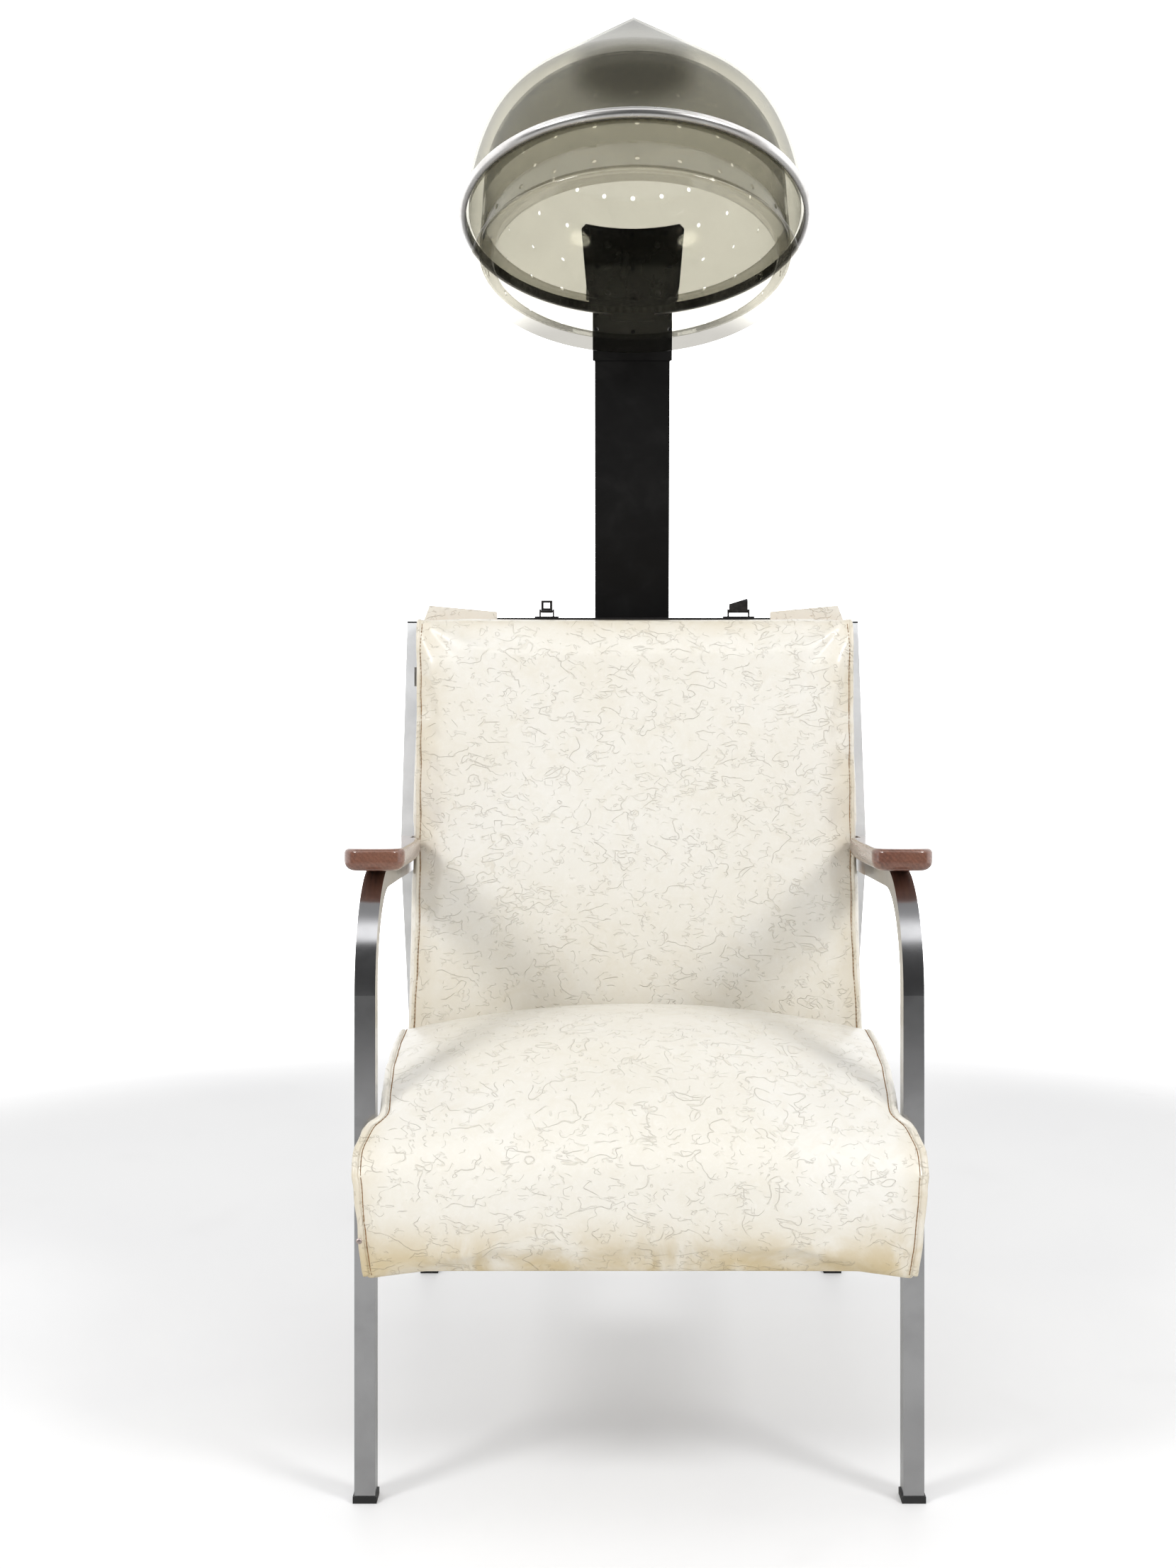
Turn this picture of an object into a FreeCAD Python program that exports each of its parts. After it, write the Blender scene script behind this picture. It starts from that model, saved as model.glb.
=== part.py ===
import FreeCAD, Part
import math
import os

# Salon dryer chair: an upholstered armchair on bent square tubes, with a blower housing behind
# its back, a sliding duct column and a tilting double-walled hood.  Millimetres, +Z up, the
# sitter faces -Y.  Working frame: x = 0 on the middle plane, y = 0 on the front legs' front
# faces, z = 0 on the floor.  save() moves every piece so that the origin lies under the middle
# of the whole object.

os.makedirs("parts", exist_ok=True)
Vec = FreeCAD.Vector
X_AXIS = Vec(1, 0, 0)
Y_AXIS = Vec(0, 1, 0)
Z_AXIS = Vec(0, 0, 1)
ORIGIN = Vec(0, 0, 0)

# ---------------------------------------------------------------- driving dimensions
# whole object, along Y
FRONT_REACH = -76.7
REAR_REACH = 756.8
MID_Y = (FRONT_REACH + REAR_REACH) / 2

# chair frame: square tube
TUBE = 22.0
TUBE_WALL = 1.5
FRAME_HALF = 299.5
TUBE_X = FRAME_HALF - TUBE / 2
INNER_HALF = FRAME_HALF - TUBE
BEND_R = 110.0
POST_BEND_R = 90.0
GLIDE_H = 7.0
GLIDE_WALL = 1.6
LEG_Y = TUBE / 2
ARM_FRONT_Z = 649.0
ARM_SLOPE = 3.0
POST_ELBOW = (461.0, 634.0)
POST_TOP = (543.0, 926.0)
REAR_FOOT_Y = 743.0
RAIL_W = 20.0
SIDE_RAIL_Z = 268.0
SIDE_RAIL_H = 22.0
RAIL_WALL = 1.5
REAR_RAIL_T = 16.0

# armrests
ARMREST_FRONT = 42.0
ARMREST_LENGTH = 292.0
ARMREST_HALF_FRONT = 33.0
ARMREST_HALF_REAR = 24.0
ARMREST_T = 24.0
ARMREST_BOW = 6.0
ARMREST_WAIST = 120.0
ARMREST_INSET = 3.0
ARM_SCREW_R = 2.5
ARM_SCREW_HEAD_R = 5.0

# seat
SEAT_HALF = 273.0
SEAT_FRONT_HALF = 300.0
SEAT_APRON_Z = 256.0
SEAT_NOSE_Y = -73.0
SEAT_REAR_Y = 252.0
SEAT_STEP_Y = -3.0
SEAT_CROWN_Z = 481.0
SEAT_CROWN_R = 1400.0
SEAT_FRAME_H = 45.0
SEAT_FRAME_T = 20.0
SEAT_FRAME_HALF = 255.0
SEAT_FRAME_FRONT = 22.0
SEAT_FRAME_REAR = 246.0
SEAT_FRAME_Z = SIDE_RAIL_Z + SIDE_RAIL_H
SPRING_WIRE = 3.0
SPRING_PITCH = 26.0
SPRING_SWING = 22.0

# chair back
BACK_LEAN = 5.0
BACK_FOOT = (257.0, 372.0)
BACK_HALF = 270.0
BACK_H = 568.0
BACK_PAD_T = 88.0
BACK_BOARD_T = 12.0
BACK_BOX_T = 40.0
WING_RISE = 24.0
WING_RUN = 95.0
BACK_GAP = 0.4

# blower housing behind the back
HOUSE_HALF = 268.0
HOUSE_FRONT = 450.0
HOUSE_REAR = 702.0
HOUSE_Z0 = 645.0
HOUSE_Z1 = 932.0
REAR_KNOB_Y = 720.0
SHEET = 1.2
LID_T = 3.0
LID_SKIRT = 14.0

# duct column
COLUMN_LEAN = 7.0
COLUMN_W = 101.0
COLUMN_D = 58.0
COLUMN_WALL = 1.5
PIVOT_Y = 585.0
PIVOT_Z = 1376.0
COLUMN_TOP_S = -45.0
COLUMN_FOOT_S = -610.0
HEAD_FOOT_S = -90.0
HEAD_WALL = 2.5
HEAD_REAR_TOP_S = -8.0
GUIDE_GAP = 0.3
PIN_R = 4.0
DRUM_R = 30.0

# hood: turned about its own axis, h = 0 on the trim ring's plane
HOOD_TILT = 22.0
HOOD_Y = 328.0
HOOD_Z = 1420.5
OUTER_R = 206.0
SHELL_T = 3.0
OUTER_SKIRT = 7.0
SIDE_R = 306.0
SHOULDER_R = 110.0
SHOULDER_START = 19.0
CONE_START = 44.65
INNER_R = 188.5
INNER_TOP = 182.0
CAP_R = 300.0
WALL_TOP_R = 185.0
WALL_TOP_H = 45.0
INNER_FOOT = -57.0
RING_OUT_R = 214.7
RING_H = 13.0
RIM_OUT_R = 198.0
RIM_THROAT_R = 171.0
HOLE_R = 3.2
HOLE_SIDES = 10
HOLES_PER_ROW = 24

# controls and latches
KNOB_R = 19.0
KNOB_H = 15.0
GLAND_R = 9.0
CORD_R = 4.0


# ---------------------------------------------------------------- helpers
def save(name, *shapes):
    """Write one node; several shapes stay separate solids of the same node."""
    solids = []
    for shape in shapes:
        solids += shape.Solids
    moved = Part.makeCompound(solids) if len(solids) > 1 else solids[0]
    moved = moved.copy()
    moved.translate(Vec(0, -MID_Y, 0))
    if not moved.isValid():
        print("INVALID", name)
    moved.exportStep("parts/" + name + ".step")


def block(x0, x1, y0, y1, z0, z1):
    """Box between two corners."""
    return Part.makeBox(x1 - x0, y1 - y0, z1 - z0, Vec(x0, y0, z0))


def rod(radius, start, direction, length):
    """Cylinder from a start point along a direction."""
    return Part.makeCylinder(radius, length, start, direction)


def mirrored(shape):
    """The same piece on the other side of the middle plane."""
    return shape.mirror(ORIGIN, X_AXIS)


def slab(points, x0, x1):
    """Closed outline of (y, z) points, pushed from x0 to x1."""
    corners = [Vec(x0, y, z) for y, z in points]
    face = Part.Face(Part.makePolygon(corners + [corners[0]]))
    return face.extrude(Vec(x1 - x0, 0, 0))


def turned(points, arc_tops=()):
    """Solid of revolution about Z from (r, z) points; a point in arc_tops is an arc's middle."""
    vectors = [Vec(r, 0, z) for r, z in points]
    edges = []
    index = 0
    count = len(vectors)
    while index < count:
        following = vectors[(index + 1) % count]
        if (index + 1) % count in arc_tops:
            end = vectors[(index + 2) % count]
            edges.append(Part.Arc(vectors[index], following, end).toShape())
            index += 2
        else:
            edges.append(Part.LineSegment(vectors[index], following).toShape())
            index += 1
    return Part.Face(Part.Wire(edges)).revolve(ORIGIN, Z_AXIS, 360)


def bent_outline(path, radii, half):
    """Edges of a strip that follows a (y, z) path with rounded corners."""
    def offset_side(side):
        edges = []
        last = None
        for i, (y, z) in enumerate(path):
            here = Vec(0, y, z)
            before = (here - Vec(0, *path[i - 1])).normalize() if i > 0 else None
            after = (Vec(0, *path[i + 1]) - here).normalize() if i < len(path) - 1 else None
            if before is None or after is None:
                along = after if before is None else before
                point = here + Vec(0, -along.z, along.y) * (side * half)
                if last is not None:
                    edges.append(Part.LineSegment(last, point).toShape())
                last = point
                continue
            turn = math.atan2(before.y * after.z - before.z * after.y, before.dot(after))
            radius = radii[i - 1]
            reach = radius * math.tan(abs(turn) / 2)
            inward = Vec(0, -before.z, before.y) * math.copysign(1, turn)
            centre = here - before * reach + inward * radius
            own = radius - side * math.copysign(1, turn) * half
            start = centre - inward * own
            outward_end = Vec(0, -after.z, after.y) * math.copysign(1, turn)
            end = centre - outward_end * own
            middle = centre - (inward + outward_end).normalize() * own
            edges.append(Part.LineSegment(last, start).toShape())
            edges.append(Part.Arc(start, middle, end).toShape())
            last = end
        return edges, last
    left, left_end = offset_side(1)
    right, right_end = offset_side(-1)
    left_start = left[0].Vertexes[0].Point
    right_start = right[0].Vertexes[0].Point
    closing = [
        Part.LineSegment(left_end, right_end).toShape(),
        Part.LineSegment(left_start, right_start).toShape(),
    ]
    return left + right + closing


def bent_bar(path, radii, half, x0, x1):
    """Bar of a square section that follows a (y, z) path."""
    wire = Part.Wire(Part.__sortEdges__(bent_outline(path, radii, half)))
    bar = Part.Face(wire).extrude(Vec(x1 - x0, 0, 0))
    bar.translate(Vec(x0, 0, 0))
    return bar


def bent_tube(path, radii, x_mid):
    """Square tube that follows a (y, z) path, open at both ends."""
    half = TUBE / 2
    bore = half - TUBE_WALL
    outer = bent_bar(path, radii, half, x_mid - half, x_mid + half)
    inner = bent_bar(path, radii, bore, x_mid - bore, x_mid + bore)
    return outer.cut(inner)


def lean(shape, degrees, y, z):
    """Tip a piece back about a line along X through (y, z)."""
    moved = shape.copy()
    moved.rotate(Vec(0, y, z), X_AXIS, -degrees)
    return moved


def on_back(shape):
    """Tip a piece drawn upright, with the back's front face on y = 0, foot on z = 0."""
    moved = shape.copy()
    moved.translate(Vec(0, BACK_FOOT[0], BACK_FOOT[1]))
    return lean(moved, BACK_LEAN, BACK_FOOT[0], BACK_FOOT[1])


def on_column(shape):
    """Place a piece drawn with the pivot at the origin and the column along Z."""
    moved = shape.copy()
    moved.rotate(ORIGIN, X_AXIS, COLUMN_LEAN)
    moved.translate(Vec(0, PIVOT_Y, PIVOT_Z))
    return moved


def on_hood(shape):
    """Place a piece drawn about the hood's own axis."""
    moved = shape.copy()
    moved.rotate(ORIGIN, X_AXIS, -HOOD_TILT)
    moved.translate(Vec(0, HOOD_Y, HOOD_Z))
    return moved


def rect_tube(width, depth, wall, z0, z1):
    """Upright rectangular tube about the Z axis."""
    outer = block(-width / 2, width / 2, -depth / 2, depth / 2, z0, z1)
    inner = block(-width / 2 + wall, width / 2 - wall, -depth / 2 + wall, depth / 2 - wall, z0, z1)
    return outer.cut(inner)


# ---------------------------------------------------------------- chair frame
arm_drop = math.tan(math.radians(ARM_SLOPE))
arm_end_z = ARM_FRONT_Z - arm_drop * (POST_ELBOW[0] - LEG_Y)
side_path = [(LEG_Y, GLIDE_WALL), (LEG_Y, ARM_FRONT_Z), (POST_ELBOW[0], arm_end_z)]
rake = (REAR_FOOT_Y - POST_ELBOW[0]) / POST_ELBOW[1]
post_path = [(REAR_FOOT_Y + rake * TUBE, -TUBE), POST_ELBOW, POST_TOP]
half_tube = TUBE / 2
floor_cut = block(-400, 400, 500, 900, -80, GLIDE_WALL)

post_solid = bent_bar(post_path, [POST_BEND_R], half_tube, TUBE_X - half_tube, TUBE_X + half_tube)
post_solid = post_solid.cut(floor_cut)
right_post = bent_tube(post_path, [POST_BEND_R], TUBE_X).cut(floor_cut)
right_side = bent_tube(side_path, [BEND_R], TUBE_X).cut(post_solid)

# armrest: drawn flat with its front end on y = 0 and its underside on z = 0, then laid on the bar
bar_top_front = (ARMREST_FRONT, ARM_FRONT_Z + half_tube / math.cos(math.radians(ARM_SLOPE))
                 - arm_drop * (ARMREST_FRONT - LEG_Y))


def on_arm(shape):
    """Lay a piece drawn flat on the right arm bar's top face."""
    moved = lean(shape, ARM_SLOPE, 0, 0)
    moved.translate(Vec(TUBE_X, bar_top_front[0], bar_top_front[1]))
    return moved


def armrest():
    """Wooden pad with a bowed front end, narrower at the rear, rounded all round."""
    front = Vec(ARMREST_HALF_FRONT, ARMREST_BOW, 0)
    waist = Vec(ARMREST_HALF_FRONT, ARMREST_WAIST, 0)
    rear = Vec(ARMREST_HALF_REAR, ARMREST_LENGTH - ARMREST_BOW, 0)
    taper = Vec(waist.x - (waist.x - rear.x) / 4, (waist.y + rear.y) / 2, 0)
    front_left, waist_left, taper_left, rear_left = [Vec(-v.x, v.y, 0) for v in (front, waist, taper, rear)]
    outline = [
        Part.Arc(front_left, ORIGIN, front).toShape(),
        Part.LineSegment(front, waist).toShape(),
        Part.Arc(waist, taper, rear).toShape(),
        Part.Arc(rear, Vec(0, ARMREST_LENGTH, 0), rear_left).toShape(),
        Part.Arc(rear_left, taper_left, waist_left).toShape(),
        Part.LineSegment(waist_left, front_left).toShape(),
    ]
    pad = Part.Face(Part.Wire(outline)).extrude(Vec(0, 0, ARMREST_T))
    for y, radius in ((front.y, 18.0), (rear.y, 14.0)):
        upright = [e for e in pad.Edges if e.BoundBox.ZLength > ARMREST_T - 1 and abs(e.CenterOfMass.y - y) < 1]
        pad = pad.makeFillet(radius, upright)
    top_rim = [e for e in pad.Edges if e.BoundBox.ZMin > ARMREST_T - 0.01]
    pad = pad.makeFillet(5.0, top_rim)
    bottom_rim = [e for e in pad.Edges if e.BoundBox.ZMax < 0.01]
    pad = pad.makeFillet(11.0, bottom_rim)
    pad.translate(Vec(-ARMREST_INSET, 0, 0))
    return pad


screw_places = (100.0, 215.0)
arm_pad = armrest()
arm_screws = []
screw_holes = []
for place in screw_places:
    shank = rod(ARM_SCREW_R, Vec(0, place, -TUBE), Z_AXIS, TUBE + 14)
    head = rod(ARM_SCREW_HEAD_R, Vec(0, place, -TUBE - 3), Z_AXIS, 3)
    arm_screws.append(on_arm(shank.fuse(head)))
    screw_holes.append(on_arm(shank))
for hole in screw_holes:
    right_side = right_side.cut(hole)
right_pad = on_arm(arm_pad)
for hole in screw_holes:
    right_pad = right_pad.cut(hole)
beside_back = block(-BACK_HALF - BACK_GAP, BACK_HALF + BACK_GAP, -BACK_GAP, BACK_PAD_T, 0, BACK_H)
right_pad = right_pad.cut(on_back(beside_back))

save("side_frame_right", right_side)
save("side_frame_left", mirrored(right_side))
save("back_post_right", right_post)
save("back_post_left", mirrored(right_post))
save("armrest_right", right_pad)
save("armrest_left", mirrored(right_pad))

# glides: moulded cups under the four legs
cup_half = half_tube + GLIDE_WALL
front_cup = block(TUBE_X - cup_half, TUBE_X + cup_half, LEG_Y - cup_half, LEG_Y + cup_half, 0, GLIDE_H)
front_cup = front_cup.cut(block(TUBE_X - half_tube, TUBE_X + half_tube, 0, TUBE, GLIDE_WALL, 20))
rear_half = cup_half / math.cos(math.atan(rake))
rear_cup = block(TUBE_X - cup_half, TUBE_X + cup_half,
                 REAR_FOOT_Y - rear_half - 2, REAR_FOOT_Y + rear_half, 0, GLIDE_H)
rear_cup = rear_cup.cut(post_solid)
save("leg_glides", front_cup, mirrored(front_cup), rear_cup, mirrored(rear_cup))

# plugs that close the tops of the back posts
post_lean = math.degrees(math.atan2(POST_TOP[0] - POST_ELBOW[0], POST_TOP[1] - POST_ELBOW[1]))
plug = block(-half_tube, half_tube, -half_tube, half_tube, 0, 2.5)
bore = half_tube - TUBE_WALL
plug = plug.fuse(block(-bore, bore, -bore, bore, -14, 0)).removeSplitter()
plug = lean(plug, post_lean, 0, 0)
plug.translate(Vec(TUBE_X, POST_TOP[0], POST_TOP[1]))
save("post_caps", plug, mirrored(plug))

# rails that tie the two sides together and carry the seat
rail_z1 = SIDE_RAIL_Z + SIDE_RAIL_H
rail_half = RAIL_W / 2
seat_rail_y = 222.0
rear_rail_y = POST_ELBOW[0] + rake * (POST_ELBOW[1] - SIDE_RAIL_Z - SIDE_RAIL_H / 2)


def cross_rail(half_length, y, thickness):
    """Hollow rectangular rail from side to side, with its middle at y."""
    outer = block(-half_length, half_length, y - thickness / 2, y + thickness / 2, SIDE_RAIL_Z, rail_z1)
    bore = thickness / 2 - RAIL_WALL
    return outer.cut(block(-half_length, half_length, y - bore, y + bore,
                           SIDE_RAIL_Z + RAIL_WALL, rail_z1 - RAIL_WALL))


front_rail = cross_rail(INNER_HALF, LEG_Y, RAIL_W)
seat_rail = cross_rail(TUBE_X - rail_half, seat_rail_y, RAIL_W)
rear_rail = cross_rail(INNER_HALF, rear_rail_y, REAR_RAIL_T)
side_rail = block(TUBE_X - rail_half, TUBE_X + rail_half, TUBE, REAR_FOOT_Y, SIDE_RAIL_Z, rail_z1).cut(post_solid)
side_rail = max(side_rail.Solids, key=lambda piece: -piece.BoundBox.YMin)
side_bore = rail_half - RAIL_WALL
side_rail = side_rail.cut(block(TUBE_X - side_bore, TUBE_X + side_bore, 0, REAR_FOOT_Y,
                                SIDE_RAIL_Z + RAIL_WALL, rail_z1 - RAIL_WALL))

# ---------------------------------------------------------------- seat
frame_top = SEAT_FRAME_Z + SEAT_FRAME_H
seat_rear_rail_y = SEAT_FRAME_REAR - SEAT_FRAME_T - 14
seat_frame = [
    block(-SEAT_FRAME_HALF, SEAT_FRAME_HALF, SEAT_FRAME_FRONT - 20, SEAT_FRAME_FRONT, SEAT_FRAME_Z, frame_top),
    block(-SEAT_FRAME_HALF, SEAT_FRAME_HALF, seat_rear_rail_y, SEAT_FRAME_REAR, SEAT_FRAME_Z, frame_top),
    block(SEAT_FRAME_HALF - SEAT_FRAME_T, SEAT_FRAME_HALF, SEAT_FRAME_FRONT, seat_rear_rail_y,
          SEAT_FRAME_Z, frame_top),
    block(-SEAT_FRAME_HALF, -SEAT_FRAME_HALF + SEAT_FRAME_T, SEAT_FRAME_FRONT, seat_rear_rail_y,
          SEAT_FRAME_Z, frame_top),
]
seat_screws = []
for x in (-200.0, 200.0):
    for y in (LEG_Y, seat_rail_y):
        shank = rod(3.0, Vec(x, y, SIDE_RAIL_Z), Z_AXIS, SIDE_RAIL_H + 25)
        head = rod(6.0, Vec(x, y, SIDE_RAIL_Z - 4), Z_AXIS, 4)
        seat_screws.append(shank.fuse(head))
        front_rail = front_rail.cut(shank)
        seat_rail = seat_rail.cut(shank)
        seat_frame = [rail.cut(shank) for rail in seat_frame]
save("front_rail", front_rail)
save("seat_side_rails", side_rail, mirrored(side_rail))
save("seat_cross_rail", seat_rail)
save("rear_rail", rear_rail)
arm_screws += [mirrored(screw) for screw in arm_screws]
save("frame_screws", *(arm_screws + seat_screws))


def zigzag_spring(x_mid):
    """Flat sinuous spring that runs from the frame's front rail to its rear rail."""
    z = frame_top - SPRING_WIRE
    y0 = SEAT_FRAME_FRONT - 8
    y1 = SEAT_FRAME_REAR - SEAT_FRAME_T - 6
    turns = int((y1 - y0) / SPRING_PITCH)
    step = (y1 - y0) / turns
    wire = []
    for i in range(turns + 1):
        y = y0 + i * step
        wire.append(rod(SPRING_WIRE / 2, Vec(x_mid - SPRING_SWING, y, z), X_AXIS, 2 * SPRING_SWING))
        if i < turns:
            x = x_mid + SPRING_SWING * (1 if i % 2 else -1)
            wire.append(rod(SPRING_WIRE / 2, Vec(x, y, z), Y_AXIS, step))
    return wire[0].multiFuse(wire[1:])


spring_recess = SPRING_WIRE * 1.5
springs = [zigzag_spring(x) for x in (-165.0, -55.0, 55.0, 165.0)]
for x in (-165.0, -55.0, 55.0, 165.0):
    pocket = block(x - SPRING_SWING - 3, x + SPRING_SWING + 3, SEAT_FRAME_FRONT - 11,
                   SEAT_FRAME_REAR - SEAT_FRAME_T - 3, frame_top - spring_recess, frame_top)
    seat_frame = [rail.cut(pocket) for rail in seat_frame]
save("seat_frame", *seat_frame)
save("seat_springs", *springs)

# cushion: thick T-shaped pad whose front rolls over the legs and hangs down as an apron
top_curve = Part.BSplineCurve()
top_curve.interpolate([Vec(0, SEAT_REAR_Y, 470), Vec(0, 150, 478), Vec(0, 50, 462), Vec(0, 0, 439),
                       Vec(0, -50, 396), Vec(0, SEAT_NOSE_Y, 340), Vec(0, -66, SEAT_APRON_Z)])
outline = [
    top_curve.toShape(),
    Part.LineSegment(Vec(0, -66, SEAT_APRON_Z), Vec(0, -4, SEAT_APRON_Z)).toShape(),
    Part.LineSegment(Vec(0, -4, SEAT_APRON_Z), Vec(0, -4, SEAT_FRAME_Z + 2)).toShape(),
    Part.LineSegment(Vec(0, -4, SEAT_FRAME_Z + 2), Vec(0, SEAT_REAR_Y, SEAT_FRAME_Z + 2)).toShape(),
    Part.LineSegment(Vec(0, SEAT_REAR_Y, SEAT_FRAME_Z + 2), Vec(0, SEAT_REAR_Y, 470)).toShape(),
]
profile = Part.Face(Part.Wire(outline))
front_part = profile.extrude(Vec(2 * SEAT_FRONT_HALF, 0, 0))
front_part.translate(Vec(-SEAT_FRONT_HALF, 0, 0))
seat_pad = front_part.cut(block(SEAT_HALF, 400, SEAT_STEP_Y, 400, 0, 600))
seat_pad = seat_pad.cut(block(-400, -SEAT_HALF, SEAT_STEP_Y, 400, 0, 600))
crown = rod(SEAT_CROWN_R, Vec(0, -200, SEAT_CROWN_Z - SEAT_CROWN_R), Y_AXIS, 600)
seat_pad = seat_pad.common(crown)
seat_pad = seat_pad.cut(block(-SEAT_FRAME_HALF - 0.5, SEAT_FRAME_HALF + 0.5, SEAT_FRAME_FRONT - 21,
                              SEAT_FRAME_REAR + 0.5, 0, frame_top))
save("seat_cushion", seat_pad)
save("seat_dust_cover", block(-SEAT_FRAME_HALF + 4, SEAT_FRAME_HALF - 4, 24, 208,
                              SEAT_FRAME_Z - 1, SEAT_FRAME_Z))


# ---------------------------------------------------------------- chair back
pad = block(-BACK_HALF, BACK_HALF, 0, BACK_PAD_T, 0, BACK_H)
front_edges = [e for e in pad.Edges if e.BoundBox.YMax < 0.01]
pad = pad.makeFillet(24.0, front_edges)
save("back_cushion", on_back(pad))

frame_y1 = BACK_PAD_T + BACK_BOX_T
stile = block(BACK_HALF - 35, BACK_HALF, BACK_PAD_T, frame_y1, 0, BACK_H)
foot_rail = block(-BACK_HALF + 35, BACK_HALF - 35, BACK_PAD_T, frame_y1, 0, 45)
top_rail = block(-BACK_HALF + 35, BACK_HALF - 35, BACK_PAD_T, frame_y1, BACK_H - 45, BACK_H)
save("back_frame", *[on_back(rail) for rail in (stile, mirrored(stile), foot_rail, top_rail)])

wing_outline = [
    (-BACK_HALF, 0), (BACK_HALF, 0), (BACK_HALF, BACK_H), (BACK_HALF - 9, BACK_H + WING_RISE),
    (BACK_HALF - WING_RUN, BACK_H + 16), (BACK_HALF - WING_RUN, BACK_H),
    (-BACK_HALF + WING_RUN, BACK_H), (-BACK_HALF + WING_RUN, BACK_H + 16),
    (-BACK_HALF + 9, BACK_H + WING_RISE), (-BACK_HALF, BACK_H),
]
corners = [Vec(x, frame_y1, z) for x, z in wing_outline]
panel = Part.Face(Part.makePolygon(corners + [corners[0]])).extrude(Vec(0, BACK_BOARD_T, 0))
save("back_panel", on_back(panel))

# straps that join the wooden back frame to the posts
straps = []
for z, y0, y1 in ((560.0, 380.0, 497.0), (860.0, 408.0, 532.0)):
    strap = block(INNER_HALF - 3, INNER_HALF, y0, y1, z - 12, z + 12)
    boss = rod(9, Vec(BACK_HALF, y0 + 12, z), X_AXIS, INNER_HALF - 3 - BACK_HALF)
    straps.append(strap.fuse(boss).removeSplitter())
save("back_straps", *(straps + [mirrored(s) for s in straps]))

# ---------------------------------------------------------------- blower housing
house = block(-HOUSE_HALF, HOUSE_HALF, HOUSE_FRONT, HOUSE_REAR, HOUSE_Z0, HOUSE_Z1)
house = house.cut(block(-HOUSE_HALF + SHEET, HOUSE_HALF - SHEET, HOUSE_FRONT + SHEET,
                        HOUSE_REAR - SHEET, HOUSE_Z0 + SHEET, HOUSE_Z1 + 1))

grille_x0, grille_x1 = -238.0, -98.0
grille_z0, grille_z1 = 730.0, 870.0
house = house.cut(block(grille_x0, grille_x1, HOUSE_REAR - 5, HOUSE_REAR + 5, grille_z0, grille_z1))
grille = block(grille_x0 - 10, grille_x1 + 10, HOUSE_REAR, HOUSE_REAR + 1.5, grille_z0 - 10, grille_z1 + 10)
slot_count = 12
for i in range(slot_count):
    z = grille_z0 + 5 + i * (grille_z1 - grille_z0 - 4) / slot_count
    grille = grille.cut(block(grille_x0 + 6, grille_x1 - 6, HOUSE_REAR - 1, HOUSE_REAR + 3, z, z + 6))
save("intake_grille", grille)
save("intake_filter", block(grille_x0, grille_x1, HOUSE_REAR - 4, HOUSE_REAR, grille_z0, grille_z1))

mount_blocks = []
for z in (690.0, 900.0):
    along = (z - POST_ELBOW[1]) / (POST_TOP[1] - POST_ELBOW[1])
    y = POST_ELBOW[0] + along * (POST_TOP[0] - POST_ELBOW[0])
    mount_blocks.append(block(HOUSE_HALF, INNER_HALF, y - 8, y + 8, z - 15, z + 15))
save("housing_mounts", *(mount_blocks + [mirrored(b) for b in mount_blocks]))

# column parts, drawn about the pivot
column = rect_tube(COLUMN_W, COLUMN_D, COLUMN_WALL, COLUMN_FOOT_S, COLUMN_TOP_S)
save("column", on_column(column))

guide_w = COLUMN_W + 2 * GUIDE_GAP
guide_d = COLUMN_D + 2 * GUIDE_GAP
guide_s1 = -(PIVOT_Z - HOUSE_Z1 - 5) / math.cos(math.radians(COLUMN_LEAN))
guide_outer = block(-guide_w / 2 - 6, guide_w / 2 + 6, -guide_d / 2 - 4, guide_d / 2 + 4, guide_s1 - 44, guide_s1)
guide_bore = block(-guide_w / 2, guide_w / 2, -guide_d / 2, guide_d / 2, guide_s1 - 60, guide_s1 + 20)
guide = on_column(guide_outer.cut(guide_bore))
guide = guide.cut(block(-400, 400, 400, 900, HOUSE_Z1 + LID_T + 2, 1200))
lid = block(-HOUSE_HALF, HOUSE_HALF, HOUSE_FRONT, HOUSE_REAR, HOUSE_Z1, HOUSE_Z1 + LID_T)
lid_opening = block(-guide_w / 2 - 6, guide_w / 2 + 6, -guide_d / 2 - 4, guide_d / 2 + 4, guide_s1 - 44, guide_s1 + 30)
lid = lid.cut(on_column(lid_opening))

well_w = COLUMN_W + 6
well_d = COLUMN_D + 4
well_s0 = COLUMN_FOOT_S - 72
well_s1 = guide_s1 - 44
well = block(-well_w / 2 - 1, well_w / 2 + 1, -well_d / 2 - 1, well_d / 2 + 1, well_s0, well_s1)
well = well.cut(block(-well_w / 2, well_w / 2, -well_d / 2, well_d / 2, well_s0 + 1.2, well_s1 + 1))
well = on_column(well)

# blower: motor, squirrel-cage wheel, scroll and heater, all left of the column
BLOWER_X = -168.0
BLOWER_Z = 800.0
SCROLL_R = 76.0
SCROLL_Y0, SCROLL_Y1 = 630.0, 690.0
WHEEL_R = 54.0
MOTOR_R = 42.0
SHAFT_R = 4.0
duct_z0, duct_z1 = BLOWER_Z - SCROLL_R, BLOWER_Z - 26.0
duct_x1 = -well_w / 2 - 1
HEATER_X0 = BLOWER_X + SCROLL_R + 1


def scroll_volume(inset):
    """Drum and outlet of the scroll, shrunk by a wall's thickness."""
    drum = rod(SCROLL_R - inset, Vec(BLOWER_X, SCROLL_Y0 + inset, BLOWER_Z), Y_AXIS,
               SCROLL_Y1 - SCROLL_Y0 - 2 * inset)
    outlet = block(BLOWER_X, HEATER_X0, SCROLL_Y0 + inset, SCROLL_Y1 - inset, duct_z0 + inset, duct_z1 - inset)
    return drum.fuse(outlet)


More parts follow.
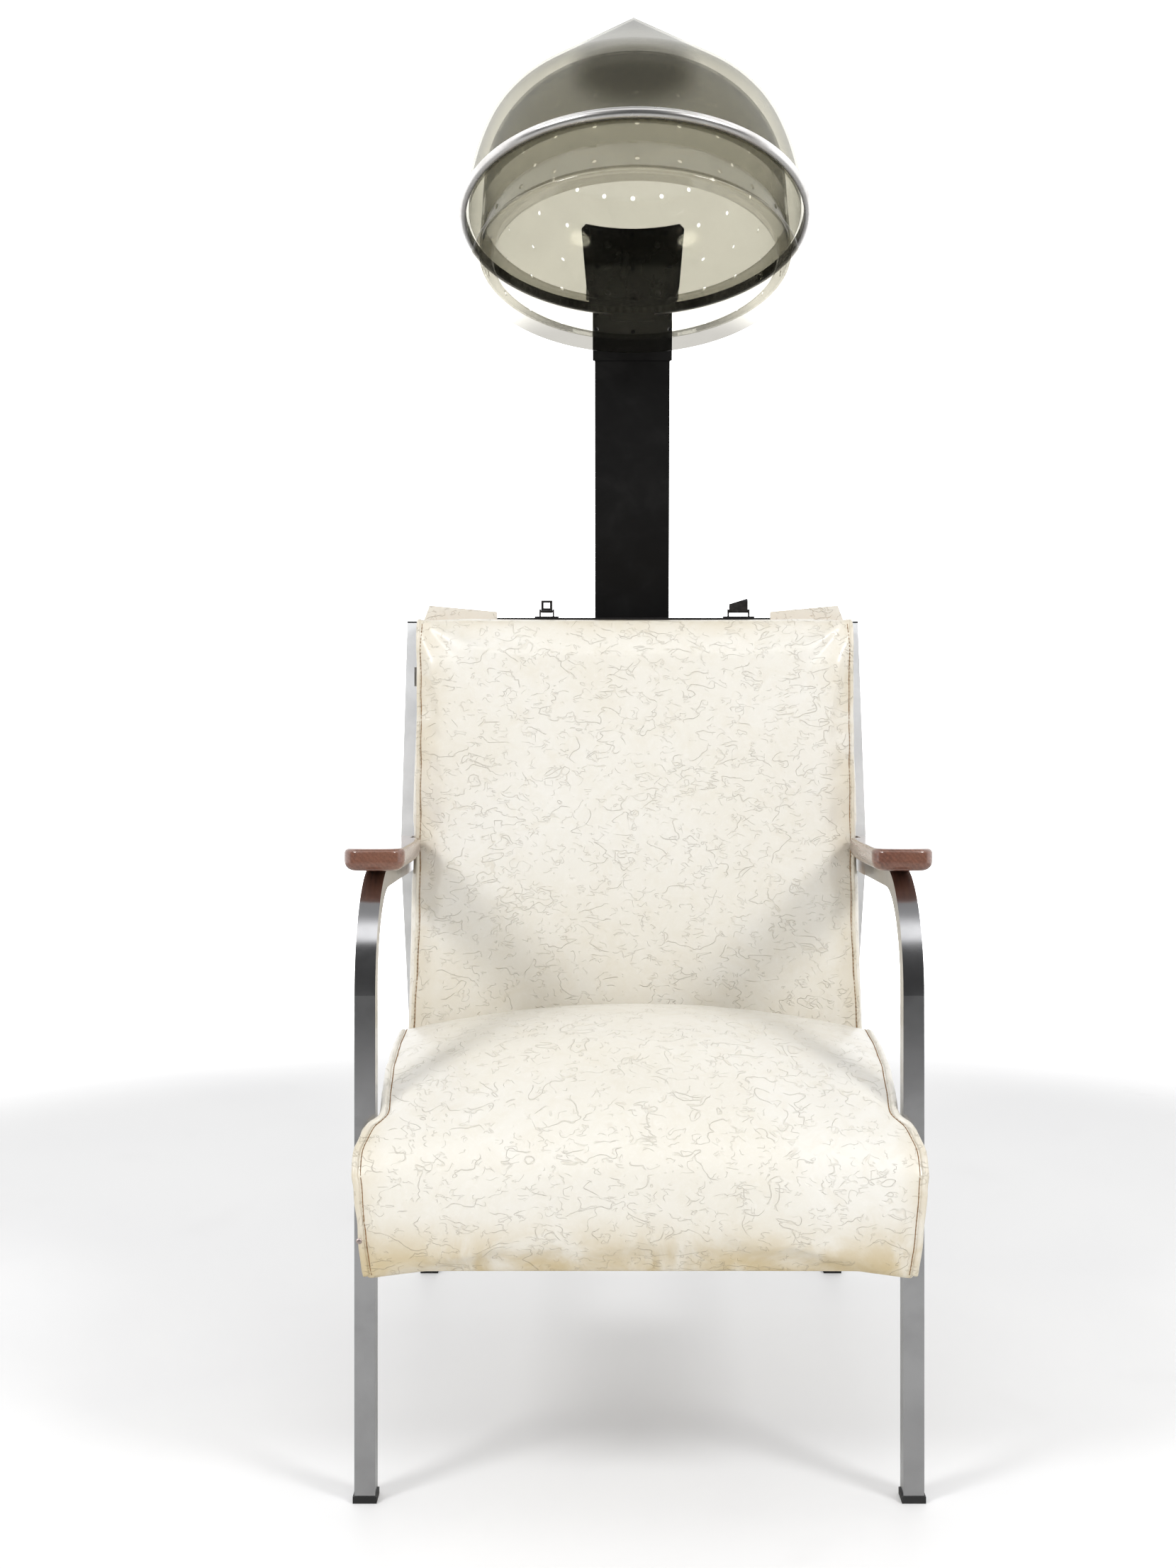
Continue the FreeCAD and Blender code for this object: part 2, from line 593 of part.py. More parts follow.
scroll = scroll_volume(0).cut(scroll_volume(SHEET))
scroll = scroll.cut(block(HEATER_X0 - 3, HEATER_X0 + 3, SCROLL_Y0 + SHEET, SCROLL_Y1 - SHEET, duct_z0 + SHEET, duct_z1 - SHEET))
scroll = scroll.cut(rod(40, Vec(BLOWER_X, SCROLL_Y1 - 5, BLOWER_Z), Y_AXIS, 10))
scroll = scroll.cut(rod(8, Vec(BLOWER_X, SCROLL_Y0 - 5, BLOWER_Z), Y_AXIS, 10))
save("blower_scroll", scroll)

heater_box = block(HEATER_X0, duct_x1, SCROLL_Y0, SCROLL_Y1, duct_z0, duct_z1)
heater_box = heater_box.cut(block(HEATER_X0 - 1, 0, SCROLL_Y0 + SHEET, SCROLL_Y1 - SHEET, duct_z0 + SHEET, duct_z1 - SHEET))
save("heater_box", heater_box)
elements = []
for x in (-84.0, -73.0, -62.0):
    for z in (duct_z0 + 14, duct_z0 + 25, duct_z0 + 36):
        elements.append(rod(2.5, Vec(x, SCROLL_Y0 + SHEET, z), Y_AXIS, SCROLL_Y1 - SCROLL_Y0 - 2 * SHEET))
save("heating_elements", *elements)
save("thermostat", rod(9, Vec(-73, (SCROLL_Y0 + SCROLL_Y1) / 2, duct_z1), Z_AXIS, 8))
well = well.cut(block(duct_x1 - 2, duct_x1 + 3, SCROLL_Y0 + 4, SCROLL_Y1 - 4, duct_z0 + 4, duct_z1 - 4))
save("column_well", well)

motor_y0, motor_y1 = 536.0, 624.0
motor = rod(MOTOR_R, Vec(BLOWER_X, motor_y0, BLOWER_Z), Y_AXIS, motor_y1 - motor_y0)
motor = motor.cut(rod(SHAFT_R + 0.05, Vec(BLOWER_X, motor_y0 + 10, BLOWER_Z), Y_AXIS, motor_y1))
save("blower_motor", motor)
cradle = block(BLOWER_X - 46, BLOWER_X + 46, motor_y0 + 12, motor_y1 - 12, HOUSE_Z0 + SHEET, BLOWER_Z)
cradle = cradle.cut(rod(MOTOR_R, Vec(BLOWER_X, motor_y0, BLOWER_Z), Y_AXIS, 200))
cradle = cradle.cut(block(BLOWER_X - 40, BLOWER_X + 40, motor_y0, motor_y1, HOUSE_Z0 + 6, BLOWER_Z - 50))
save("motor_cradle", cradle)

shaft_end = SCROLL_Y1 - 8
save("motor_shaft", rod(SHAFT_R, Vec(BLOWER_X, motor_y0 + 11, BLOWER_Z), Y_AXIS, shaft_end - motor_y0 - 11))
wheel_y0, wheel_y1 = SCROLL_Y0 + 8, SCROLL_Y1 - 6
wheel = rod(WHEEL_R, Vec(BLOWER_X, wheel_y0, BLOWER_Z), Y_AXIS, 2)
wheel = wheel.fuse(rod(10, Vec(BLOWER_X, wheel_y0, BLOWER_Z), Y_AXIS, 30))
ring = rod(WHEEL_R, Vec(BLOWER_X, wheel_y1 - 3, BLOWER_Z), Y_AXIS, 3)
ring = ring.cut(rod(WHEEL_R - 10, Vec(BLOWER_X, wheel_y1 - 4, BLOWER_Z), Y_AXIS, 5))
blades = []
blade_count = 20
for i in range(blade_count):
    blade = block(WHEEL_R - 9, WHEEL_R - 1, wheel_y0 + 1, wheel_y1 - 1, -0.8, 0.8)
    blade.rotate(ORIGIN, Y_AXIS, i * 360.0 / blade_count)
    blade.translate(Vec(BLOWER_X, 0, BLOWER_Z))
    blades.append(blade)
wheel = wheel.multiFuse([ring] + blades)
wheel = wheel.cut(rod(SHAFT_R, Vec(BLOWER_X, 500, BLOWER_Z), Y_AXIS, 400))
save("blower_wheel", wheel)

# controls on the housing's rear wall
TIMER_AT = (140.0, 850.0)
SWITCH_AT = (205.0, 850.0)
PLATE_T = 1.5
face_y = HOUSE_REAR + PLATE_T
control_plate = block(100, 240, HOUSE_REAR, face_y, 800, 900)
timer_post = rod(3.0, Vec(TIMER_AT[0], HOUSE_REAR - 10, TIMER_AT[1]), Y_AXIS, 20)
timer_hole = rod(3.2, Vec(TIMER_AT[0], HOUSE_REAR - 10, TIMER_AT[1]), Y_AXIS, 20)
switch_hole = block(SWITCH_AT[0] - 8, SWITCH_AT[0] + 8, HOUSE_REAR - 10, HOUSE_REAR + 10,
                    SWITCH_AT[1] - 14, SWITCH_AT[1] + 14)
control_plate = control_plate.cut(timer_hole).cut(switch_hole)
house = house.cut(timer_hole).cut(switch_hole)
save("control_plate", control_plate)
timer_body = block(TIMER_AT[0] - 22, TIMER_AT[0] + 22, HOUSE_REAR - SHEET - 36, HOUSE_REAR - SHEET,
                   TIMER_AT[1] - 22, TIMER_AT[1] + 22)
timer_body = timer_body.cut(rod(3.2, Vec(TIMER_AT[0], HOUSE_REAR - 12, TIMER_AT[1]), Y_AXIS, 20))
save("timer_body", timer_body)
knob = rod(KNOB_R, Vec(TIMER_AT[0], face_y + 0.6, TIMER_AT[1]), Y_AXIS, REAR_KNOB_Y - face_y - 0.6)
for i in range(12):
    groove = rod(2.0, Vec(KNOB_R + 0.8, 0, 0), Y_AXIS, 40)
    groove.rotate(ORIGIN, Y_AXIS, i * 30.0)
    groove.translate(Vec(TIMER_AT[0], face_y, TIMER_AT[1]))
    knob = knob.cut(groove)
stem = rod(3.0, Vec(TIMER_AT[0], HOUSE_REAR - 10, TIMER_AT[1]), Y_AXIS, face_y + 1 - HOUSE_REAR + 10)
save("timer_knob", knob.fuse(stem).removeSplitter())

bezel = block(SWITCH_AT[0] - 10, SWITCH_AT[0] + 10, face_y, face_y + 2, SWITCH_AT[1] - 16, SWITCH_AT[1] + 16)
bezel = bezel.fuse(block(SWITCH_AT[0] - 8, SWITCH_AT[0] + 8, HOUSE_REAR - 8, face_y,
                         SWITCH_AT[1] - 14, SWITCH_AT[1] + 14))
bezel = bezel.cut(block(SWITCH_AT[0] - 6.5, SWITCH_AT[0] + 6.5, HOUSE_REAR - 7, face_y + 5,
                        SWITCH_AT[1] - 12, SWITCH_AT[1] + 12))
save("switch_bezel", bezel.removeSplitter())
rocker = rod(11.0, Vec(SWITCH_AT[0] - 6, face_y - 5, SWITCH_AT[1]), X_AXIS, 12)
rocker = rocker.common(block(SWITCH_AT[0] - 6, SWITCH_AT[0] + 6, face_y - 6, face_y + 4,
                             SWITCH_AT[1] - 12, SWITCH_AT[1] + 12))
rocker.rotate(Vec(0, face_y - 5, SWITCH_AT[1]), X_AXIS, 8)
save("switch_rocker", rocker)

# cord inlet low on the rear wall, and the terminal block inside it
GLAND_AT = (215.0, 680.0)
house = house.cut(rod(GLAND_R - 2, Vec(GLAND_AT[0], HOUSE_REAR - 5, GLAND_AT[1]), Y_AXIS, 10))
gland = rod(GLAND_R, Vec(GLAND_AT[0], HOUSE_REAR, GLAND_AT[1]), Y_AXIS, 8)
gland = gland.fuse(rod(GLAND_R - 2, Vec(GLAND_AT[0], HOUSE_REAR - SHEET - 6, GLAND_AT[1]), Y_AXIS, 8 + SHEET))
gland = gland.fuse(rod(GLAND_R, Vec(GLAND_AT[0], HOUSE_REAR - SHEET - 6, GLAND_AT[1]), Y_AXIS, 6))
gland = gland.cut(rod(CORD_R, Vec(GLAND_AT[0], HOUSE_REAR - 20, GLAND_AT[1]), Y_AXIS, 40))
save("cord_gland", gland.removeSplitter())
save("terminal_block", block(190, 240, 600, 625, HOUSE_Z0 + SHEET, HOUSE_Z0 + SHEET + 18))

# clamp screw that pinches the column from behind, through the guide
CLAMP_Z = 918.0
clamp_column_y = PIVOT_Y + (PIVOT_Z - CLAMP_Z) * math.tan(math.radians(COLUMN_LEAN)) \
    + COLUMN_D / 2 / math.cos(math.radians(COLUMN_LEAN))
clamp_screw = rod(4.0, Vec(0, clamp_column_y + 1.2, CLAMP_Z), Y_AXIS, HOUSE_REAR + 4 - clamp_column_y)
clamp_grip = rod(16.0, Vec(0, HOUSE_REAR + 2, CLAMP_Z), Y_AXIS, REAR_KNOB_Y - HOUSE_REAR - 2)
for i in range(6):
    notch = rod(4.0, Vec(18.0, 0, 0), Y_AXIS, 40)
    notch.rotate(ORIGIN, Y_AXIS, i * 60.0)
    notch.translate(Vec(0, HOUSE_REAR, CLAMP_Z))
    clamp_grip = clamp_grip.cut(notch)
save("clamp_knob", clamp_grip.fuse(clamp_screw).removeSplitter())
clamp_clear = rod(4.06, Vec(0, clamp_column_y - 3, CLAMP_Z), Y_AXIS, 60)
guide = guide.cut(clamp_clear)
guide = guide.cut(block(-400, 400, HOUSE_REAR - SHEET, 900, 0, 1200))
house = house.cut(clamp_clear)
save("column_guide", guide)
save("blower_housing", house)
save("housing_lid", lid)

# ---------------------------------------------------------------- column head and tilt pivot
head_in_w = COLUMN_W + 0.6
head_in_d = COLUMN_D + 0.6
head_half = head_in_w / 2 + HEAD_WALL
CHEEK_TOP_R = 27.0
head = block(-head_half, head_half, -head_in_d / 2 - HEAD_WALL, head_in_d / 2 + HEAD_WALL,
             HEAD_FOOT_S, COLUMN_TOP_S + 8)
head = head.fuse(block(-head_half, head_half, -CHEEK_TOP_R, CHEEK_TOP_R, COLUMN_TOP_S, 0))
head = head.fuse(rod(CHEEK_TOP_R, Vec(-head_half, 0, 0), X_AXIS, 2 * head_half))
head = head.cut(block(-head_in_w / 2, head_in_w / 2, -head_in_d / 2, head_in_d / 2, HEAD_FOOT_S, COLUMN_TOP_S + 9))
head = head.cut(block(-head_in_w / 2, head_in_w / 2, -60, 60, COLUMN_TOP_S + 8, 60))
head = head.fuse(block(-head_half, head_half, head_in_d / 2, head_in_d / 2 + HEAD_WALL,
                       COLUMN_TOP_S, HEAD_REAR_TOP_S))
pin_bore = rod(PIN_R, Vec(-80, 0, 0), X_AXIS, 160)
head = head.cut(pin_bore)
save("column_head", on_column(head.removeSplitter()))

pin_half = head_half + 8
tilt_pin = rod(PIN_R, Vec(-pin_half, 0, 0), X_AXIS, 2 * pin_half)
nut = rod(9.0, Vec(head_half, 0, 0), X_AXIS, 9).cut(rod(PIN_R, Vec(head_half, 0, 0), X_AXIS, 8))
save("tilt_pin", on_column(tilt_pin), on_column(nut), on_column(mirrored(nut)))
DRUM_HALF = 49.0
washer = rod(16.0, Vec(DRUM_HALF + 0.1, 0, 0), X_AXIS, head_in_w / 2 - DRUM_HALF - 0.1)
washer = washer.cut(rod(PIN_R, Vec(0, 0, 0), X_AXIS, 80))
save("friction_washers", on_column(washer), on_column(mirrored(washer)))

# ---------------------------------------------------------------- hood, drawn about its own axis
NECK_HALF = 43.0
NECK_H0, NECK_H1 = 25.0, 70.0
FLANGE_H0, FLANGE_H1 = 8.0, 94.0
FLANGE_HALF = 58.0
pivot_out = 255.0
pivot_up = 55.0


def arc_about(centre, radius, start, end):
    """Arc edge in the (radius, height) plane about centre, between two angles in degrees."""
    points = []
    for angle in (start, (start + end) / 2, end):
        turn = math.radians(angle)
        points.append(Vec(centre[0] + radius * math.cos(turn), 0, centre[1] + radius * math.sin(turn)))
    return Part.Arc(*points).toShape(), points[0], points[2]


def dome(inset, skirt):
    """Solid pointed dome, moved inwards by inset: short straight skirt, side arc, shoulder arc, cone."""
    side_centre = (OUTER_R - SIDE_R, 0)
    reach = SIDE_R - SHOULDER_R
    shoulder_centre = (side_centre[0] + reach * math.cos(math.radians(SHOULDER_START)),
                       reach * math.sin(math.radians(SHOULDER_START)))
    side, foot, _ = arc_about(side_centre, SIDE_R - inset, 0, SHOULDER_START)
    shoulder, _, cone_foot = arc_about(shoulder_centre, SHOULDER_R - inset, SHOULDER_START, CONE_START)
    tip = Vec(0, 0, cone_foot.z + cone_foot.x / math.tan(math.radians(CONE_START)))
    edges = [
        side,
        shoulder,
        Part.LineSegment(cone_foot, tip).toShape(),
        Part.LineSegment(tip, Vec(0, 0, -skirt)).toShape(),
        Part.LineSegment(Vec(0, 0, -skirt), Vec(foot.x, 0, -skirt)).toShape(),
        Part.LineSegment(Vec(foot.x, 0, -skirt), foot).toShape(),
    ]
    return Part.Face(Part.Wire(edges)).revolve(ORIGIN, Z_AXIS, 360)


def bowl(inset):
    """Solid inner bowl, moved inwards by inset: tapered wall, corner arc, shallow cap."""
    taper = math.atan2(INNER_R - WALL_TOP_R, WALL_TOP_H - INNER_FOOT)
    cap_centre = (0, INNER_TOP - CAP_R)
    out = (math.cos(taper), math.sin(taper))
    gap = (WALL_TOP_R, WALL_TOP_H - cap_centre[1])
    along = gap[0] * out[0] + gap[1] * out[1]
    corner_r = (gap[0] ** 2 + gap[1] ** 2 - CAP_R ** 2) / (2 * (along - CAP_R))
    corner_centre = (WALL_TOP_R - corner_r * out[0], WALL_TOP_H - corner_r * out[1])
    meet = math.degrees(math.atan2(corner_centre[1] - cap_centre[1], corner_centre[0]))
    corner, wall_top, _ = arc_about(corner_centre, corner_r - inset, math.degrees(taper), meet)
    cap, _, top = arc_about(cap_centre, CAP_R - inset, meet, 90)
    top = Vec(0, 0, top.z)
    foot = Vec(INNER_R - inset, 0, INNER_FOOT)
    edges = [
        Part.LineSegment(foot, wall_top).toShape(),
        corner,
        cap,
        Part.LineSegment(top, Vec(0, 0, INNER_FOOT)).toShape(),
        Part.LineSegment(Vec(0, 0, INNER_FOOT), foot).toShape(),
    ]
    return Part.Face(Part.Wire(edges)).revolve(ORIGIN, Z_AXIS, 360)


outer_solid = dome(0, OUTER_SKIRT)
outer_shell = outer_solid.cut(dome(SHELL_T, OUTER_SKIRT))
duct_mouth = block(-NECK_HALF + 3, NECK_HALF - 3, 150, 240, NECK_H0 + 3, NECK_H1 - 3)
outer_shell = outer_shell.cut(duct_mouth)

# screws that clamp neck flange, outer shell and deflector together
saddle_screw_places = [(-33.0, 82.0), (33.0, 82.0), (-33.0, 16.0), (33.0, 16.0)]
flange = dome(-3.0, OUTER_SKIRT).cut(outer_solid)
flange = flange.common(block(-FLANGE_HALF, FLANGE_HALF, 100, 300, FLANGE_H0, FLANGE_H1))
neck = block(-NECK_HALF, NECK_HALF, 180, pivot_out, NECK_H0, NECK_H1)
drum = rod(DRUM_R, Vec(-DRUM_HALF, pivot_out, pivot_up), X_AXIS, 2 * DRUM_HALF)
neck = neck.fuse(drum).cut(outer_solid)
neck = neck.cut(block(-NECK_HALF + 3, NECK_HALF - 3, 150, pivot_out, NECK_H0 + 3, NECK_H1 - 3))
neck = neck.cut(rod(DRUM_R - 3, Vec(-DRUM_HALF + 3, pivot_out, pivot_up), X_AXIS, 2 * DRUM_HALF - 6))
drum_slot = block(-DRUM_HALF + 4, DRUM_HALF - 4, -20, 20, -60, 0)
drum_slot.rotate(ORIGIN, X_AXIS, HOOD_TILT + COLUMN_LEAN)
drum_slot.translate(Vec(0, pivot_out, pivot_up))
neck = neck.cut(drum_slot)
neck = neck.cut(rod(PIN_R + 0.05, Vec(-80, pivot_out, pivot_up), X_AXIS, 160))
neck = neck.fuse(flange.cut(duct_mouth)).removeSplitter()

deflector = dome(10.0, OUTER_SKIRT).cut(dome(11.5, OUTER_SKIRT))
wedge_corners = [Vec(-56, 100, 9), Vec(56, 100, 9), Vec(61, 100, 20), Vec(68, 100, 98),
                 Vec(62, 100, 105), Vec(-62, 100, 105), Vec(-68, 100, 98), Vec(-61, 100, 20)]
wedge = Part.Face(Part.makePolygon(wedge_corners + [wedge_corners[0]])).extrude(Vec(0, 200, 0))
deflector = deflector.common(wedge)

saddle_screws = []
for x, h in saddle_screw_places:
    shank = rod(2.0, Vec(x, 170, h), Y_AXIS, 60)
    shank = shank.common(dome(-3.0, OUTER_SKIRT)).cut(dome(12.5, OUTER_SKIRT))
    spacer = rod(4.5, Vec(x, 170, h), Y_AXIS, 60)
    spacer = spacer.common(dome(SHELL_T, OUTER_SKIRT)).cut(dome(10.0, OUTER_SKIRT))
    head_disc = rod(3.6, Vec(x, 170, h), Y_AXIS, 60)
    head_disc = head_disc.common(dome(11.5, OUTER_SKIRT)).cut(dome(13.5, OUTER_SKIRT))
    outer_shell = outer_shell.cut(shank)
    neck = neck.cut(shank)
    deflector = deflector.cut(shank)
    saddle_screws.append(shank.fuse([spacer, head_disc]).removeSplitter())
save("hood_outer_shell", on_hood(outer_shell))
save("hood_neck", on_hood(neck))
save("air_deflector", on_hood(deflector))

inner_shell = bowl(0).cut(bowl(SHELL_T))
inner_shell.rotate(ORIGIN, Z_AXIS, 180.0 / HOLES_PER_ROW)
hole_corners = []
for i in range(HOLE_SIDES + 1):
    turn = 2 * math.pi * i / HOLE_SIDES
    hole_corners.append(Vec(HOLE_R * math.cos(turn), HOLE_R * math.sin(turn), -12))
hole_outline = Part.Face(Part.makePolygon(hole_corners))
perforations = []
for h, radius in ((-46.0, 187.0), (3.0, 185.0), (47.0, 183.0), (93.0, 172.0), (134.0, 148.0)):
    steep = 0.0 if h < 60 else math.degrees(math.atan2(h - 20, radius))
    for i in range(HOLES_PER_ROW):
        drill = hole_outline.extrude(Vec(0, 0, 24))
        drill.rotate(ORIGIN, Y_AXIS, 90 - steep)
        drill.translate(Vec(radius, 0, h))
        drill.rotate(ORIGIN, Z_AXIS, i * 360.0 / HOLES_PER_ROW + 90)
        perforations.append(drill)
inner_shell = inner_shell.cut(Part.makeCompound(perforations))
save("hood_inner_shell", on_hood(inner_shell))

wall_at_ring = INNER_R - (INNER_R - WALL_TOP_R) * (2.0 - INNER_FOOT) / (WALL_TOP_H - INNER_FOOT)
plenum_ring = turned([(wall_at_ring, 2), (OUTER_R - SHELL_T - 0.6, 2), (OUTER_R - SHELL_T - 0.6, 5),
                      (wall_at_ring, 5)])
plenum_ring = plenum_ring.cut(bowl(0))
save("plenum_ring", on_hood(plenum_ring))

rim = turned([(RIM_THROAT_R + 3, INNER_FOOT), (INNER_R + 1.5, INNER_FOOT), (RIM_OUT_R - 0.5, -67),
              (RIM_OUT_R, -70), (RIM_OUT_R - 3, -72), (RIM_THROAT_R + 1, -66), (RIM_THROAT_R, -62)],
             arc_tops=(3,))
save("hood_rim", on_hood(rim))

trim_ring = turned([(OUTER_R, -RING_H / 2), (RING_OUT_R, 0), (OUTER_R, RING_H / 2)], arc_tops=(1,))
trim_ring = trim_ring.cut(dome(0, RING_H)).cut(block(-1.5, 1.5, 150, 260, -20, 20))
save("trim_ring", on_hood(trim_ring))
joiner = turned([(OUTER_R - SHELL_T, -19), (OUTER_R, -19), (OUTER_R, -OUTER_SKIRT), (OUTER_R - SHELL_T, -OUTER_SKIRT)])
joiner = joiner.common(block(-29, 29, 100, 260, -20, 0))
save("ring_joiner", on_hood(joiner))
joiner_screw = rod(2.5, Vec(0, 206, -13), Y_AXIS, 5)
save("hood_screws", *[on_hood(screw) for screw in saddle_screws + [joiner_screw]])


# ---------------------------------------------------------------- latches on the housing lid
LID_TOP = HOUSE_Z1 + LID_T
LATCH_PIN_R = 1.25
LATCH_EAR_GAP = 0.3
latch_y = HOUSE_FRONT + 16.0
latch_z = LID_TOP + 8.6


def latch_base(x, half):
    """Small plate with two ears and a cross pin."""
    foot = block(x - half - 8, x + half + 8, latch_y - 9, latch_y + 9, LID_TOP, LID_TOP + 2)
    parts = []
    for side in (-1, 1):
        inner = x + side * (half + LATCH_EAR_GAP)
        outer = inner + side * 2
        parts.append(block(min(inner, outer), max(inner, outer), latch_y - 3, latch_y + 3, LID_TOP + 2, latch_z + 2.4))
    parts.append(rod(LATCH_PIN_R, Vec(x - half - 2, latch_y, latch_z), X_AXIS, 2 * half + 4))
    return foot.multiFuse(parts).removeSplitter()


HASP_X, HASP_HALF = -112.0, 7.3
LEVER_X, LEVER_HALF = 136.0, 12.0
hasp = block(HASP_X - HASP_HALF, HASP_X + HASP_HALF, latch_y - 1, latch_y + 1, latch_z, latch_z + 14)
hasp = hasp.cut(block(HASP_X - 4, HASP_X + 4, latch_y - 3, latch_y + 3, latch_z + 4, latch_z + 11))
hasp = hasp.fuse(rod(2.2, Vec(HASP_X - HASP_HALF, latch_y, latch_z), X_AXIS, 2 * HASP_HALF))
hasp = hasp.cut(rod(LATCH_PIN_R + 0.06, Vec(HASP_X - 20, latch_y, latch_z), X_AXIS, 40))
save("hasp", hasp.removeSplitter())
lever = slab([(latch_y - 2.2, latch_z), (latch_y - 2.6, latch_z + 13), (latch_y + 0.4, latch_z + 16),
              (latch_y + 3.4, latch_z + 12), (latch_y + 2.2, latch_z)], LEVER_X - LEVER_HALF, LEVER_X + LEVER_HALF)
lever_top = Part.Face(Part.makePolygon([
    Vec(LEVER_X - LEVER_HALF - 1, latch_y - 20, latch_z + 9), Vec(LEVER_X + LEVER_HALF + 1, latch_y - 20, latch_z + 17),
    Vec(LEVER_X + LEVER_HALF + 1, latch_y - 20, latch_z + 40), Vec(LEVER_X - LEVER_HALF - 1, latch_y - 20, latch_z + 40),
    Vec(LEVER_X - LEVER_HALF - 1, latch_y - 20, latch_z + 9)]))
lever = lever.cut(lever_top.extrude(Vec(0, 40, 0)))
lever = lever.fuse(rod(2.2, Vec(LEVER_X - LEVER_HALF, latch_y, latch_z), X_AXIS, 2 * LEVER_HALF))
lever = lever.cut(rod(LATCH_PIN_R + 0.06, Vec(LEVER_X - 20, latch_y, latch_z), X_AXIS, 40))
save("latch_bases", latch_base(HASP_X, HASP_HALF), latch_base(LEVER_X, LEVER_HALF))
save("latch_lever", lever.removeSplitter())
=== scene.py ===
import bpy
import math
import numpy as np
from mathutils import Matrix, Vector
from mathutils.bvhtree import BVHTree


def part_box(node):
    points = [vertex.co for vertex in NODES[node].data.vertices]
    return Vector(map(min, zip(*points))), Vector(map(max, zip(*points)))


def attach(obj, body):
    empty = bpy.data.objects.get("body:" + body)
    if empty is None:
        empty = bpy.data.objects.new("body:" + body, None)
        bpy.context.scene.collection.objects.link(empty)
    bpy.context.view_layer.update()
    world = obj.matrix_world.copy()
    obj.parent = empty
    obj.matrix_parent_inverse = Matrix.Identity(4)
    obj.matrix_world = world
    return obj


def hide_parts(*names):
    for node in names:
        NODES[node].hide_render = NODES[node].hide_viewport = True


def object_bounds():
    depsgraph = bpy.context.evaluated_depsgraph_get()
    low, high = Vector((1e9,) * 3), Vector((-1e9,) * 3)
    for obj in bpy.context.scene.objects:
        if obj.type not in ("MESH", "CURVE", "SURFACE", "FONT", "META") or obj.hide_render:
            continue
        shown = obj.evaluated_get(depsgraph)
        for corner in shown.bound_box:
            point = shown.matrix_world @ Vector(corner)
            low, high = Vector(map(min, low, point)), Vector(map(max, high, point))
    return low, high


# Salon dryer chair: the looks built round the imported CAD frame.  Metres, +Z up, the sitter faces -Y.
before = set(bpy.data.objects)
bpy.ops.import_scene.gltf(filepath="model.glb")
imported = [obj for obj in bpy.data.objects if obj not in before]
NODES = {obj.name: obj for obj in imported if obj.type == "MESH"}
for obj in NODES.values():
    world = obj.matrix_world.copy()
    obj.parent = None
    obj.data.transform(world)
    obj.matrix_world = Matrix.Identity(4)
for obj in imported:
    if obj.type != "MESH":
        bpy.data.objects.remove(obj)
CAD_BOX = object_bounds()
FRONT_PLANE = -0.34005      # y of the front legs' front faces
SEAT_SIDE = 0.2762          # half the seat's width where it passes between the legs
SEAT_REAR_HALF = 0.2750
SEAT_CROWN = 0.032          # how much lower the seat's sides are than its middle
SEAT_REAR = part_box("seat_cushion")[1].y
SEAT_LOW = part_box("seat_cushion")[0].z
BACK_LEAN = math.radians(5.0)
BACK_FOOT_Y = FRONT_PLANE + 0.257
BACK_FOOT_Z = 0.372
BACK_HALF = 0.270
BACK_HEIGHT = 0.5735
BACK_THICK = 0.088
BACK_EDGE = 0.2735          # the pad's front edge stands a little proud of its board
ARM_NOTCH = (0.628, 0.690)  # heights between which the armrests and tubes press the pad in
HOOD_TILT = 22.0
HOOD_CENTRE = (0.0, FRONT_PLANE + 0.328, 1.4205)
RING_INNER_R = 0.206
TIP_SHADE_R = 0.100               # painted shade darkens the dome within this distance of its axis
VOXEL = 0.0055              # remesh size of the cushions
SWELL = 0.0085              # how far a cushion's skin may swell
COLUMNS = 30                # columns of the seat's first mesh
DIFFUSE_LIGHT = 0.63        # strength of the room for matt surfaces
BACKDROP = 3.0              # and behind the object
FLOOR_GLOW = 0.12           # light that the floor gives off itself
FLOOR_R = 3.6
KEY_POWER = 32
OVERHEAD_POWER = 4


